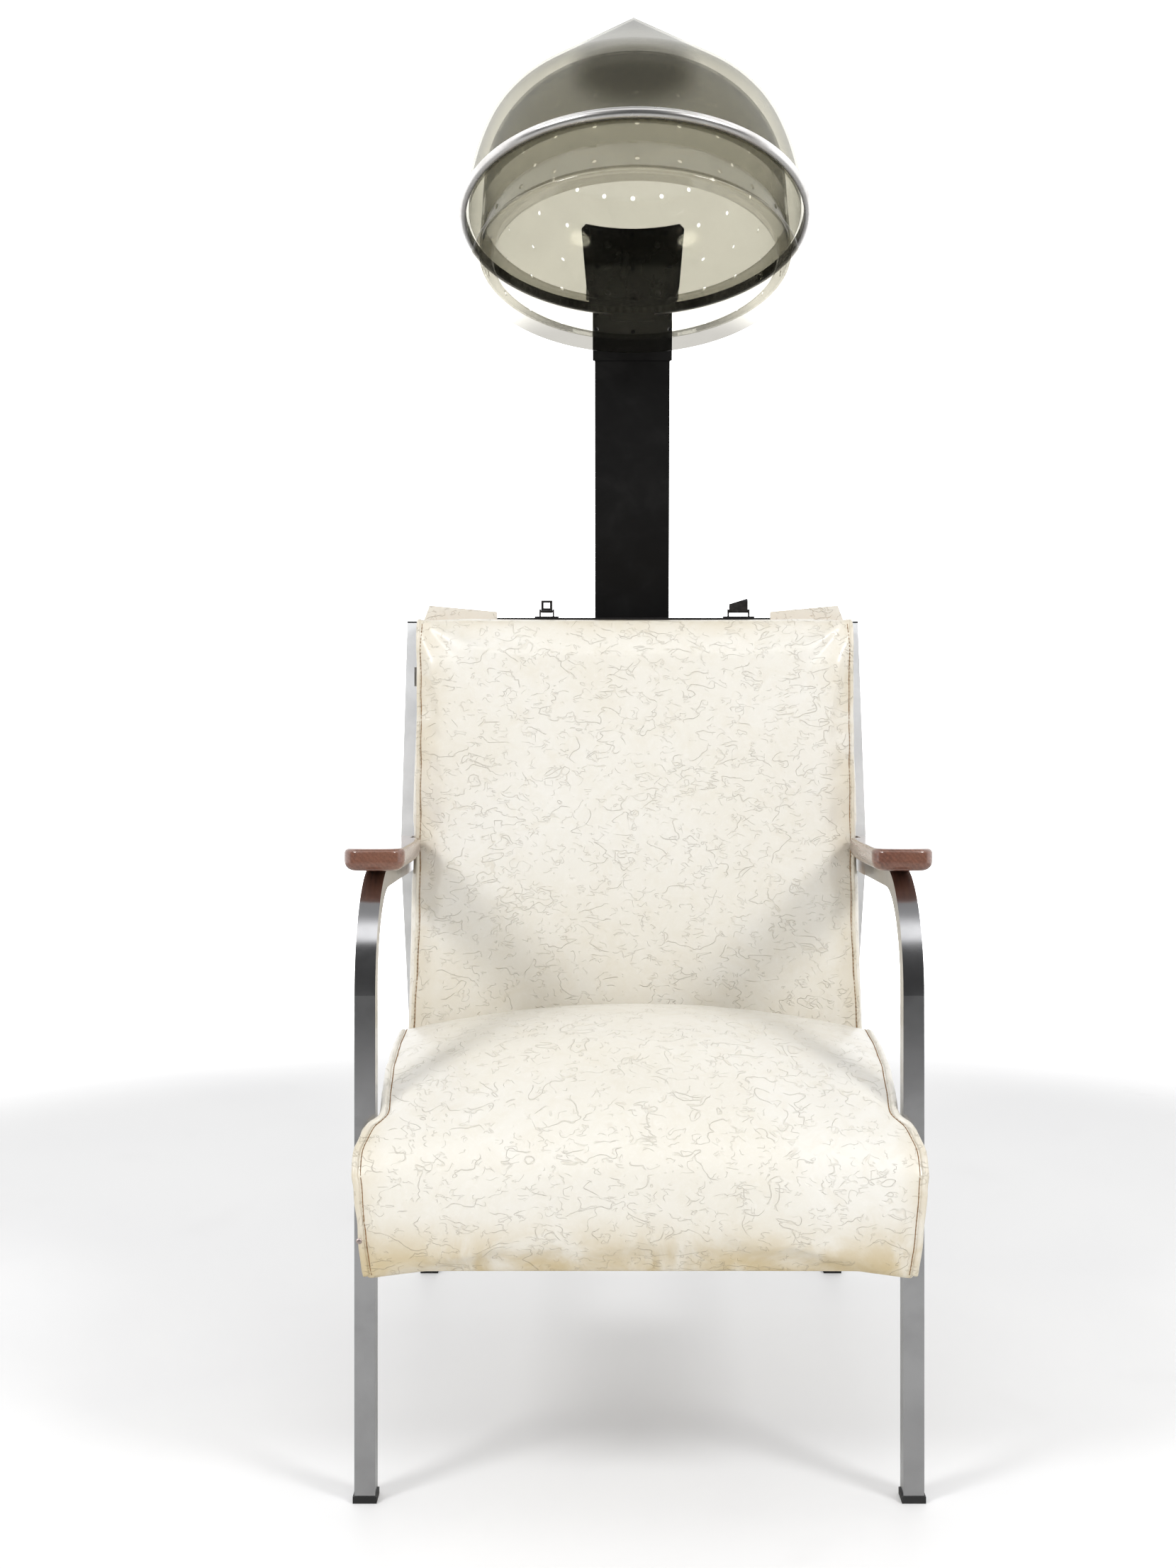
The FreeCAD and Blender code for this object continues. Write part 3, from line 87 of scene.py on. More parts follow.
# ------------------------------------------------------------------ node helpers
class Shader:
    """A material's node tree with short calls to add to it."""

    def __init__(self, name):
        self.material = bpy.data.materials.new(name)
        self.material.use_nodes = True
        self.tree = self.material.node_tree
        self.tree.nodes.clear()
        self.output = self.tree.nodes.new("ShaderNodeOutputMaterial")
        self.place = self.add("ShaderNodeTexCoord").outputs["Object"]

    def add(self, kind, sockets=None, **settings):
        node = self.tree.nodes.new(kind)
        for name, value in settings.items():
            setattr(node, name, value)
        for name, value in (sockets or {}).items():
            self.put(node.inputs[name], value)
        return node

    def put(self, socket, value):
        if isinstance(value, bpy.types.NodeSocket):
            self.tree.links.new(value, socket)
        elif isinstance(value, tuple) and len(value) == 3 and socket.type == "RGBA":
            socket.default_value = (*value, 1.0)
        else:
            socket.default_value = value

    def scaled(self, scale, offset=(0, 0, 0)):
        """Object coordinates, stretched and moved."""
        sockets = {"Vector": self.place, "Scale": scale, "Location": offset}
        return self.add("ShaderNodeMapping", sockets).outputs[0]

    def noise(self, scale, detail=3.0, rough=0.5, warp=0.0, where=None):
        node = self.add("ShaderNodeTexNoise", {
            "Vector": where or self.place, "Scale": scale, "Detail": detail,
            "Roughness": rough, "Distortion": warp})
        return node.outputs["Fac"]

    def math(self, operation, a, b=0.0, clamp=False):
        node = self.add("ShaderNodeMath", operation=operation, use_clamp=clamp)
        self.put(node.inputs[0], a)
        self.put(node.inputs[1], b)
        return node.outputs[0]

    def span(self, value, low, high, to_low=0.0, to_high=1.0):
        """Smooth step of value from low to high, clamped."""
        node = self.add("ShaderNodeMapRange", {
            "Value": value, "From Min": low, "From Max": high, "To Min": to_low, "To Max": to_high},
            interpolation_type="SMOOTHSTEP")
        return node.outputs[0]

    def mix(self, share, a, b):
        node = self.add("ShaderNodeMix", data_type="RGBA")
        self.put(node.inputs[0], share)
        self.put(node.inputs[6], a)
        self.put(node.inputs[7], b)
        return node.outputs[2]

    def axis(self, name):
        return self.add("ShaderNodeSeparateXYZ", {"Vector": self.place}).outputs[name]

    def bump(self, height, strength, distance, before=None):
        sockets = {"Height": height, "Strength": strength, "Distance": distance}
        if before is not None:
            sockets["Normal"] = before
        return self.add("ShaderNodeBump", sockets).outputs[0]

    def principled(self, **sockets):
        node = self.add("ShaderNodeBsdfPrincipled", {k.replace("_", " "): v for k, v in sockets.items()})
        self.tree.links.new(node.outputs[0], self.output.inputs["Surface"])
        return self.material


# ------------------------------------------------------------------ materials
def crease_lines(s, scale, offset, width, share):
    """Short fine wrinkles: the level line of a stretched noise, broken up by a second noise."""
    level = s.noise(scale, 2.0, 0.5, 0.5, s.scaled((1.0, 1.0, 1.6), offset))
    line = s.span(s.math("ABSOLUTE", s.math("SUBTRACT", level, 0.5)), width, 0.0)
    elsewhere = s.scaled((1, 1, 1), (offset[1], offset[2] + 3, offset[0]))
    breaks = s.noise(scale * 1.2, 1.0, 0.5, 0.0, elsewhere)
    return s.math("MULTIPLY", line, s.span(breaks, share, share + 0.08))


def vinyl(name, stain):
    """Cream patent vinyl with fibrous marbling and fine creases, whose lines carry painted shade.  stain is
    a function of the shader.
    """
    s = Shader(name)
    cloudy = s.noise(4.0, 4.0, 0.55, 0.4)
    fibre = s.noise(120.0, 6.0, 0.72, 1.6)
    blotch = s.noise(34.0, 5.0, 0.66, 0.8)
    wide = crease_lines(s, 27.0, (0.0, 1.3, 2.1), 0.014, 0.47)
    fine = crease_lines(s, 62.0, (5.2, 0.4, 7.7), 0.020, 0.48)
    creases = s.math("MAXIMUM", wide, s.math("MULTIPLY", fine, 0.7))
    colour = s.mix(s.span(cloudy, 0.38, 0.66), (0.84, 0.818, 0.757), (0.81, 0.778, 0.695))
    colour = s.mix(s.span(blotch, 0.40, 0.72, 0.0, 0.34), colour, (0.74, 0.69, 0.575))
    colour = s.mix(s.span(fibre, 0.45, 0.75, 0.0, 0.35), colour, (0.90, 0.88, 0.83))
    worn = stain(s)
    patchy = s.math("MULTIPLY", worn, s.span(s.noise(14.0, 6.0, 0.62, 0.7), 0.28, 0.62, 0.25, 1.0))
    colour = s.mix(patchy, colour, (0.58, 0.46, 0.25))
    # Painted shade: the crease lines are painted darker and browner.
    colour = s.mix(s.math("MULTIPLY", creases, 0.17), colour, (0.50, 0.42, 0.28))
    grain = s.bump(fibre, 0.2, 0.0003)
    folds = s.bump(s.math("SUBTRACT", 1.0, creases), 0.75, 0.0011, grain)
    dents = s.bump(s.noise(7.0, 2.0, 0.5, 0.2), 0.35, 0.006, folds)
    rough = s.span(s.math("ADD", s.math("MULTIPLY", blotch, 0.6), s.math("MULTIPLY", fibre, 0.4)),
                   0.3, 0.7, 0.30, 0.46)
    return s.principled(Base_Color=colour, Roughness=rough, Normal=dents, Coat_Weight=0.3,
                        Coat_Roughness=0.22, Specular_IOR_Level=0.5)


def seat_stain(s):
    """Yellow-brown wear that grows towards the bottom of the apron."""
    low = s.span(s.axis("Z"), 0.335, 0.262)
    sides = s.span(s.math("ABSOLUTE", s.axis("X")), 0.255, 0.30, 0.0, 0.5)
    forward = s.span(s.axis("Y"), -0.27, -0.38)
    return s.math("MULTIPLY", s.math("MAXIMUM", low, s.math("MULTIPLY", sides, forward)), 0.95)


def back_stain(s):
    """Yellowing along the sides and the top of the back."""
    sides = s.span(s.math("ABSOLUTE", s.axis("X")), 0.215, 0.268)
    top = s.span(s.axis("Z"), 0.90, 0.94)
    low = s.span(s.axis("Z"), 0.62, 0.44, 0.0, 0.45)
    return s.math("MULTIPLY", s.math("MAXIMUM", s.math("MAXIMUM", sides, top), low), 0.42)


def board_stain(s):
    return s.span(s.axis("Z"), 0.55, 0.38, 0.05, 0.5)


def satin_chrome(name, tint=(0.60, 0.60, 0.615), rough=0.18, rust=0.35, metallic=1.0):
    s = Shader(name)
    cloud = s.noise(14.0, 4.0, 0.6, 0.3)
    fine = s.noise(900.0, 2.0, 0.6)
    specks = s.span(s.noise(300.0, 3.0, 0.6, 0.4), 0.71, 0.75)
    where = s.span(s.noise(11.0, 2.0, 0.5), 0.50, 0.68)
    rusty = s.math("MULTIPLY", s.math("MULTIPLY", specks, where), rust)
    dull = tuple(0.86 * c for c in tint)
    colour = s.mix(s.span(cloud, 0.35, 0.75), tint, dull)
    colour = s.mix(rusty, colour, (0.20, 0.085, 0.03))
    metal = s.math("SUBTRACT", metallic, rusty, True)
    normal = s.bump(fine, 0.05, 0.00008)
    return s.principled(Base_Color=colour, Roughness=s.span(cloud, 0.3, 0.7, rough - 0.03, rough + 0.06),
                        Metallic=metal, Normal=normal)


def walnut(name):
    """Oiled walnut, the grain along Y."""
    s = Shader(name)
    wander = s.noise(3.0, 2.0, 0.5, 0.0, s.scaled((2, 0.6, 2)))
    grain = s.noise(1.0, 7.0, 0.66, 1.1, s.scaled((210, 7, 210)))
    rings = s.add("ShaderNodeTexWave", {
        "Vector": s.scaled((1, 0.09, 1)), "Scale": 110.0, "Distortion": 6.0, "Detail": 4.0,
        "Detail Scale": 1.6, "Detail Roughness": 0.6},
        wave_type="BANDS", bands_direction="DIAGONAL").outputs["Fac"]
    pores = s.span(s.noise(1.0, 3.0, 0.6, 0.0, s.scaled((900, 26, 900))), 0.60, 0.70)
    colour = s.mix(rings, (0.215, 0.092, 0.060), (0.165, 0.066, 0.043))
    colour = s.mix(s.span(grain, 0.35, 0.7, 0.0, 0.6), colour, (0.085, 0.033, 0.022))
    colour = s.mix(s.span(wander, 0.4, 0.7, 0.0, 0.35), colour, (0.29, 0.13, 0.075))
    colour = s.mix(s.math("MULTIPLY", pores, 0.7), colour, (0.018, 0.008, 0.004))
    worn = s.span(s.noise(22.0, 5.0, 0.6, 0.8), 0.60, 0.72, 0.0, 0.35)
    colour = s.mix(worn, colour, (0.33, 0.19, 0.105))
    normal = s.bump(s.math("SUBTRACT", 1.0, pores), 0.5, 0.0004)
    normal = s.bump(grain, 0.18, 0.0004, normal)
    rough = s.span(grain, 0.3, 0.7, 0.28, 0.42)
    return s.principled(Base_Color=colour, Roughness=rough, Normal=normal, Coat_Weight=1.0,
                        Coat_Roughness=0.08)


def wood(name, light, dark):
    """Plain sawn softwood."""
    s = Shader(name)
    grain = s.noise(1.0, 6.0, 0.6, 0.8, s.scaled((120, 6, 120)))
    colour = s.mix(s.span(grain, 0.35, 0.68), light, dark)
    normal = s.bump(grain, 0.4, 0.0006)
    return s.principled(Base_Color=colour, Roughness=s.span(grain, 0.3, 0.7, 0.62, 0.82), Normal=normal)


def black_enamel(name, base=(0.006, 0.0055, 0.0055), rough=0.46):
    """Stoved black paint: faint orange peel, dusty haze and hairline scratches."""
    s = Shader(name)
    peel = s.noise(420.0, 2.0, 0.5)
    dust = s.noise(24.0, 6.0, 0.65, 0.5)
    hair = s.noise(1.0, 3.0, 0.55, 0.0, s.scaled((760, 760, 10)))
    scratch = s.math("MULTIPLY", s.span(hair, 0.71, 0.74), s.span(s.noise(7.0, 2.0), 0.45, 0.62))
    colour = s.mix(s.span(dust, 0.5, 0.8, 0.0, 0.25), base, (0.020, 0.019, 0.018))
    colour = s.mix(s.math("MULTIPLY", scratch, 0.25), colour, (0.06, 0.057, 0.055))
    normal = s.bump(peel, 0.10, 0.0003)
    roughness = s.span(dust, 0.35, 0.75, rough - 0.05, rough + 0.10)
    return s.principled(Base_Color=colour, Roughness=roughness, Normal=normal, Specular_IOR_Level=0.3)


def moulded(name, base, rough=0.45, grain=520.0, depth=0.0002):
    """Moulded plastic or rubber: a fine grain and slight colour drift."""
    s = Shader(name)
    drift = s.noise(16.0, 4.0, 0.6, 0.4)
    skin = s.noise(grain, 3.0, 0.6)
    lighter = tuple(min(1.0, 1.5 * c + 0.012) for c in base)
    colour = s.mix(s.span(drift, 0.35, 0.75, 0.0, 0.6), base, lighter)
    normal = s.bump(skin, 0.35, depth)
    return s.principled(Base_Color=colour, Roughness=s.span(drift, 0.3, 0.7, rough - 0.08, rough + 0.12),
                        Normal=normal)


def brushed(name, tint, rough=0.30, stretch=(6, 300, 300)):
    """Brushed metal with the lines along X unless stretched otherwise."""
    s = Shader(name)
    lines = s.noise(1.0, 3.0, 0.6, 0.0, s.scaled(stretch))
    cloud = s.noise(14.0, 4.0, 0.6)
    darker = tuple(0.7 * c for c in tint)
    colour = s.mix(s.span(lines, 0.35, 0.65), tint, darker)
    normal = s.bump(lines, 0.18, 0.0002)
    return s.principled(Base_Color=colour, Roughness=s.span(cloud, 0.3, 0.7, rough - 0.06, rough + 0.12),
                        Metallic=1.0, Normal=normal)


def cloth(name, base, threads=1400.0):
    """Plain woven cloth or open foam."""
    s = Shader(name)
    warp = s.add("ShaderNodeTexWave", {"Vector": s.place, "Scale": threads / 6.283, "Distortion": 0.6},
                 wave_type="BANDS", bands_direction="X").outputs["Fac"]
    weft = s.add("ShaderNodeTexWave", {"Vector": s.place, "Scale": threads / 6.283, "Distortion": 0.6},
                 wave_type="BANDS", bands_direction="Y").outputs["Fac"]
    weave = s.math("MULTIPLY", warp, weft)
    fluff = s.noise(300.0, 4.0, 0.7)
    lighter = tuple(min(1.0, 2.0 * c + 0.01) for c in base)
    colour = s.mix(s.span(fluff, 0.35, 0.75), base, lighter)
    normal = s.bump(weave, 0.6, 0.0004)
    return s.principled(Base_Color=colour, Roughness=0.92, Normal=normal)


def from_hood_axis(s):
    """How far a point is from the hood's axis."""
    tilt = math.radians(HOOD_TILT)
    axis = (0.0, math.sin(tilt), math.cos(tilt))
    kind = "ShaderNodeVectorMath"
    from_centre = s.add(kind, {0: s.place, 1: HOOD_CENTRE}, operation="SUBTRACT").outputs[0]
    across = s.add(kind, {0: from_centre, 1: axis}, operation="CROSS_PRODUCT").outputs[0]
    return s.add(kind, {0: across}, operation="LENGTH").outputs["Value"]


def smoke_plastic(name, clear, haze=0.015, tip_shade=0.0, rear_shade=0.0):
    """Thin tinted acrylic.  clear is the share of each colour that one face lets through.
    The last two arguments are painted shade: how much darker the dome is painted round its point, and at
    the rear of the rim."""
    s = Shader(name)
    smear = s.noise(9.0, 5.0, 0.6, 1.2)
    dust = s.noise(520.0, 3.0, 0.6, 0.3)
    facing = s.add("ShaderNodeLayerWeight", {"Blend": 0.5}).outputs["Facing"]
    grazing = s.math("POWER", facing, 4.2)
    mirror = s.math("ADD", s.math("MULTIPLY", grazing, 0.42), 0.035, True)
    tint = s.mix(s.span(smear, 0.35, 0.75, 0.0, 0.25), clear, tuple(0.93 * c for c in clear))
    tint = s.mix(s.span(facing, 0.55, 1.0, 0.0, 0.8), tint, tuple(0.78 * c for c in clear))
    # Painted shade: the dome's point is painted darker, and the rim's rear too.
    painted_shade = s.span(from_hood_axis(s), TIP_SHADE_R, 0.5 * TIP_SHADE_R, 0.0, tip_shade)
    rear = s.span(s.axis("Y"), HOOD_CENTRE[1] + 0.05, HOOD_CENTRE[1] + 0.12, 0.0, rear_shade)
    painted_shade = s.math("MAXIMUM", painted_shade, rear)
    tint = s.mix(painted_shade, tint, (0.0, 0.0, 0.0))
    through = s.add("ShaderNodeBsdfTransparent", {"Color": tint}).outputs[0]
    film = s.add("ShaderNodeBsdfDiffuse", {"Color": (0.45, 0.44, 0.38), "Roughness": 0.3}).outputs[0]
    body = s.add("ShaderNodeMixShader", {"Fac": s.span(dust, 0.35, 0.8, haze * 0.4, haze * 1.6)})
    s.tree.links.new(through, body.inputs[1])
    s.tree.links.new(film, body.inputs[2])
    wavy = s.bump(s.noise(12.0, 2.0, 0.5), 0.10, 0.004)
    gloss = s.add("ShaderNodeBsdfGlossy", {"Color": (0.96, 0.96, 0.94), "Normal": wavy,
                                           "Roughness": s.span(smear, 0.3, 0.8, 0.03, 0.11)}).outputs[0]
    skin = s.add("ShaderNodeMixShader", {"Fac": mirror})
    s.tree.links.new(body.outputs[0], skin.inputs[1])
    s.tree.links.new(gloss, skin.inputs[2])
    s.tree.links.new(skin.outputs[0], s.output.inputs["Surface"])
    return s.material


def ring_metal(name):
    """Bright trim ring whose inner face, against the shell, is dark sealing compound."""
    s = Shader(name)
    outside = s.span(from_hood_axis(s), RING_INNER_R + 0.0004, RING_INNER_R + 0.0009)
    cloud = s.noise(26.0, 4.0, 0.6, 0.4)
    hair = s.noise(1.0, 3.0, 0.6, 0.0, s.scaled((60, 60, 700)))
    bright = s.mix(s.span(cloud, 0.35, 0.75), (0.80, 0.79, 0.78), (0.66, 0.64, 0.62))
    colour = s.mix(outside, (0.05, 0.052, 0.045), bright)
    normal = s.bump(hair, 0.04, 0.0001)
    rough = s.span(cloud, 0.3, 0.7, 0.26, 0.34)
    return s.principled(Base_Color=colour, Roughness=rough, Metallic=outside, Normal=normal)


# ------------------------------------------------------------------ mesh helpers
def new_object(name, vertices, faces, material, smooth=True):
    mesh = bpy.data.meshes.new(name)
    mesh.from_pydata([tuple(v) for v in vertices], [], faces)
    mesh.update()
    piece = bpy.data.objects.new(name, mesh)
    bpy.context.scene.collection.objects.link(piece)
    piece.data.materials.append(material)
    if smooth:
        mesh.polygons.foreach_set("use_smooth", [True] * len(mesh.polygons))
    return piece


def only_active(piece):
    for other in bpy.context.selected_objects:
        other.select_set(False)
    piece.select_set(True)
    bpy.context.view_layer.objects.active = piece


def points_of(piece):
    co = np.zeros(len(piece.data.vertices) * 3)
    piece.data.vertices.foreach_get("co", co)
    return co.reshape(-1, 3)


def set_points(piece, co):
    piece.data.vertices.foreach_set("co", co.ravel())
    piece.data.update()


def normals_of(piece):
    normals = np.zeros(len(piece.data.vertices) * 3)
    piece.data.vertex_normals.foreach_get("vector", normals)
    return normals.reshape(-1, 3)


def remeshed(piece, voxel):
    """Voxel remesh, which also unites overlapping closed shells."""
    only_active(piece)
    piece.data.remesh_voxel_size = voxel
    piece.data.remesh_voxel_adaptivity = 0.0
    bpy.ops.object.voxel_remesh()
    smooth = piece.modifiers.new("even", "CORRECTIVE_SMOOTH")
    smooth.iterations = 6
    smooth.use_only_smooth = True
    bpy.ops.object.modifier_apply(modifier=smooth.name)


def inflated(piece, pinned, cap, pressure=4.0):
    """Swell a closed cushion with a short cloth simulation.  pinned gives the vertices that stay."""
    before = points_of(piece)
    group = piece.vertex_groups.new(name="stay")
    group.add([int(i) for i in np.flatnonzero(pinned(before, normals_of(piece)))], 1.0, "REPLACE")
    cloth_modifier = piece.modifiers.new("swell", "CLOTH")
    settings = cloth_modifier.settings
    settings.quality = 6
    settings.mass = 0.3
    settings.tension_stiffness = 30
    settings.compression_stiffness = 30
    settings.bending_stiffness = 6
    settings.use_pressure = True
    settings.uniform_pressure_force = pressure
    settings.effector_weights.gravity = 0.0
    settings.vertex_group_mass = "stay"
    cloth_modifier.collision_settings.use_collision = False
    scene = bpy.context.scene
    for number in range(1, 21):
        scene.frame_set(number)
    only_active(piece)
    bpy.ops.object.modifier_apply(modifier=cloth_modifier.name)
    scene.frame_set(1)
    moved = points_of(piece) - before
    length = np.linalg.norm(moved, axis=1)
    share = np.minimum(1.0, cap / np.maximum(length, 1e-9))
    set_points(piece, before + moved * share[:, None])


def subdivided(piece):
    only_active(piece)
    finer = piece.modifiers.new("finer", "SUBSURF")
    finer.levels = 1
    finer.render_levels = 1
    bpy.ops.object.modifier_apply(modifier=finer.name)
    piece.data.polygons.foreach_set("use_smooth", [True] * len(piece.data.polygons))


def surface_of(piece):
    co = points_of(piece)
    faces = [tuple(p.vertices) for p in piece.data.polygons]
    return BVHTree.FromPolygons([tuple(c) for c in co], faces)


def spline_points(knots, count):
    """Points evenly spaced along a smooth open curve through the knots (Catmull-Rom)."""
    k = np.array([knots[0], *knots, knots[-1]], float)
    fine = []
    for i in range(1, len(k) - 2):
        for t in np.linspace(0, 1, 24, endpoint=False):
            a = 2 * k[i]
            b = (k[i + 1] - k[i - 1]) * t
            c = (2 * k[i - 1] - 5 * k[i] + 4 * k[i + 1] - k[i + 2]) * t * t
            d = (3 * k[i] - k[i - 1] - 3 * k[i + 1] + k[i + 2]) * t ** 3
            fine.append((a + b + c + d) / 2)
    fine.append(k[-2])
    fine = np.array(fine)
    steps = np.r_[0, np.cumsum(np.linalg.norm(np.diff(fine, axis=0), axis=1))]
    wanted = np.linspace(0, steps[-1], count)
    return np.stack([np.interp(wanted, steps, fine[:, i]) for i in range(3)], axis=1)


def on_surface(tree, points, lift):
    """Each point moved to the surface and out along its normal by lift, and the normals."""
    placed, normals = [], []
    for p in points:
        spot, normal, _, _ = tree.find_nearest(Vector(p))
        placed.append(np.array(spot))
        normals.append(np.array(normal))
    placed, normals = np.array(placed), np.array(normals)
    for _ in range(6):
        placed[1:-1] = (placed[:-2] + 2 * placed[1:-1] + placed[2:]) / 4
        normals[1:-1] = (normals[:-2] + 2 * normals[1:-1] + normals[2:]) / 4
    normals /= np.linalg.norm(normals, axis=1)[:, None]
    return placed + normals * lift, normals


def ring_faces(rings, sides, base=0):
    """Faces of a closed tube whose rings of vertices follow each other from base, with both ends capped."""
    faces = []
    for i in range(rings - 1):
        for j in range(sides):
            a = base + i * sides + j
            b = base + i * sides + (j + 1) % sides
            faces.append((a, b, b + sides, a + sides))
    faces.append(tuple(base + j for j in range(sides - 1, -1, -1)))
    last = base + (rings - 1) * sides
    faces.append(tuple(last + j for j in range(sides)))
    return faces


def tube(name, points, radius, material, sides=12):
    """A closed tube along points.  radius may be a number or one per point."""
    points = np.array(points, float)
    count = len(points)
    radius = np.broadcast_to(np.array(radius, float), (count,))
    tangents = np.gradient(points, axis=0)
    tangents /= np.linalg.norm(tangents, axis=1)[:, None]
    side = np.cross(tangents[0], [0.0, 0.0, 1.0])
    if np.linalg.norm(side) < 1e-3:
        side = np.cross(tangents[0], [0.0, 1.0, 0.0])
    vertices = []
    for i in range(count):
        side = side - tangents[i] * np.dot(side, tangents[i])
        side /= np.linalg.norm(side)
        up = np.cross(tangents[i], side)
        for j in range(sides):
            turn = 2 * math.pi * j / sides
            vertices.append(points[i] + radius[i] * (math.cos(turn) * side + math.sin(turn) * up))
    return new_object(name, vertices, ring_faces(count, sides), material)


def stitches(name, points, normals, material, pitch=0.0046, length=0.0031, thick=0.00045):
    """A row of thread stitches: short rods that dip into the surface at both ends."""
    points, normals = np.array(points), np.array(normals)
    steps = np.r_[0, np.cumsum(np.linalg.norm(np.diff(points, axis=0), axis=1))]
    vertices, faces = [], []
    for at in np.arange(pitch, steps[-1] - pitch, pitch):
        stations = at + np.linspace(-0.5, 0.5, 5) * length
        spine = np.stack([np.interp(stations, steps, points[:, i]) for i in range(3)], axis=1)
        normal = np.array([np.interp(at, steps, normals[:, i]) for i in range(3)])
        normal /= np.linalg.norm(normal)
        along = spine[-1] - spine[0]
        along /= np.linalg.norm(along)
        across = np.cross(along, normal)
        base = len(vertices)
        for k, spot in enumerate(spine):
            lift = thick * (0.9 - 1.5 * abs(k - 2) / 2)
            for j in range(6):
                turn = 2 * math.pi * j / 6
                offset = math.cos(turn) * across + math.sin(turn) * normal
                vertices.append(spot + normal * lift + thick * offset)
        faces += ring_faces(len(spine), 6, base)
    return new_object(name, vertices, faces, material)


def mirrored_points(points):
    return np.array(points) * np.array([-1.0, 1.0, 1.0])


# ------------------------------------------------------------------ camera, floor and light
def add_camera():
    data = bpy.data.cameras.new("camera")
    data.sensor_width = 36.0
    data.lens = 43.94
    data.shift_x = -0.0124
    data.shift_y = -0.0931
    data.clip_end = 60.0
    camera = bpy.data.objects.new("camera", data)
    camera.location = (-0.0335, FRONT_PLANE - 2.011, 0.909)
    camera.rotation_euler = (math.radians(90), 0, 0)
    bpy.context.scene.collection.objects.link(camera)
    bpy.context.scene.camera = camera


def add_floor():
    """Pale studio floor that fades out towards its rim, painted darker where mirrors see it."""
    s = Shader("studio_floor")
    cloud = s.noise(1.7, 5.0, 0.55, 0.6)
    scuff = s.span(s.noise(3.2, 8.0, 0.6, 2.2), 0.60, 0.66, 0.0, 0.05)
    colour = s.mix(s.span(cloud, 0.3, 0.7), (0.93, 0.93, 0.93), (0.90, 0.90, 0.905))
    colour = s.mix(scuff, colour, (0.55, 0.54, 0.53))
    away = s.add("ShaderNodeVectorMath", {0: s.place}, operation="LENGTH").outputs["Value"]
    mirrored = s.add("ShaderNodeLightPath").outputs["Is Glossy Ray"]
    # Painted shade: mirrors see the floor darker than the camera does.
    dimmed = s.mix(mirrored, colour, (0.50, 0.50, 0.49))
    glow = s.span(mirrored, 0.0, 1.0, FLOOR_GLOW, 0.0)
    board = s.add("ShaderNodeBsdfPrincipled", {
        "Base Color": dimmed, "Roughness": 0.55, "Emission Color": colour, "Emission Strength": glow})
    clear = s.add("ShaderNodeBsdfTransparent")
    faded = s.add("ShaderNodeMixShader", {"Fac": s.span(away, 1.6, 3.4)})
    s.tree.links.new(board.outputs[0], faded.inputs[1])
    s.tree.links.new(clear.outputs[0], faded.inputs[2])
    s.tree.links.new(faded.outputs[0], s.output.inputs["Surface"])
    turns = [math.radians(a) for a in range(0, 360, 5)]
    rim = [(FLOOR_R * math.cos(turn), FLOOR_R * math.sin(turn), 0.0) for turn in turns]
    floor = new_object("floor", rim, [tuple(range(len(rim)))], s.material, smooth=False)


def area_light(name, place, aim, width, height, power):
    data = bpy.data.lights.new(name, "AREA")
    data.shape = "ELLIPSE"
    data.size = width
    data.size_y = height
    data.energy = power
    light = bpy.data.objects.new(name, data)
    light.location = place
    light.rotation_mode = "QUATERNION"
    light.rotation_quaternion = (Vector(aim) - Vector(place)).to_track_quat("-Z", "Y")
    bpy.context.scene.collection.objects.link(light)
    light.visible_camera = False
    return light


def ramp(tree, value, low, high):
    """Smooth step of a world value."""
    node = tree.nodes.new("ShaderNodeMapRange")
    node.interpolation_type = "SMOOTHSTEP"
    tree.links.new(value, node.inputs["Value"])
    node.inputs["From Min"].default_value = low
    node.inputs["From Max"].default_value = high
    return node.outputs[0]


def product(tree, a, b):
    node = tree.nodes.new("ShaderNodeMath")
    node.operation = "MULTIPLY"
    tree.links.new(a, node.inputs[0])
    tree.links.new(b, node.inputs[1])
    return node.outputs[0]


def background(tree, strength):
    node = tree.nodes.new("ShaderNodeBackground")
    node.inputs["Color"].default_value = (1.0, 1.0, 1.0, 1.0)
    node.inputs["Strength"].default_value = strength
    return node.outputs[0]


def mixed(tree, share, a, b):
    node = tree.nodes.new("ShaderNodeMixShader")
    tree.links.new(share, node.inputs["Fac"])
    tree.links.new(a, node.inputs[1])
    tree.links.new(b, node.inputs[2])
    return node.outputs[0]


def add_world():
    """White studio.  Mirrors also see the dark end of the room in front and the dim ceiling above it."""
    world = bpy.data.worlds.new("studio")
    bpy.context.scene.world = world
    world.use_nodes = True
    tree = world.node_tree
    tree.nodes.clear()
    output = tree.nodes.new("ShaderNodeOutputWorld")
    direction = tree.nodes.new("ShaderNodeTexCoord").outputs["Generated"]
    parts = tree.nodes.new("ShaderNodeSeparateXYZ")
    tree.links.new(direction, parts.inputs[0])
    ahead = ramp(tree, parts.outputs["Y"], -0.12, -0.42)
    low = ramp(tree, parts.outputs["Z"], 0.74, 0.66)
    top = ramp(tree, parts.outputs["Z"], 0.86, 0.96)
    room = mixed(tree, product(tree, ahead, low), background(tree, 1.4), background(tree, 0.05))
    room = mixed(tree, top, room, background(tree, 0.35))
    path = tree.nodes.new("ShaderNodeLightPath")
    seen = mixed(tree, path.outputs["Is Glossy Ray"], background(tree, DIFFUSE_LIGHT), room)
    seen = mixed(tree, path.outputs["Is Camera Ray"], seen, background(tree, BACKDROP))
    tree.links.new(seen, output.inputs["Surface"])


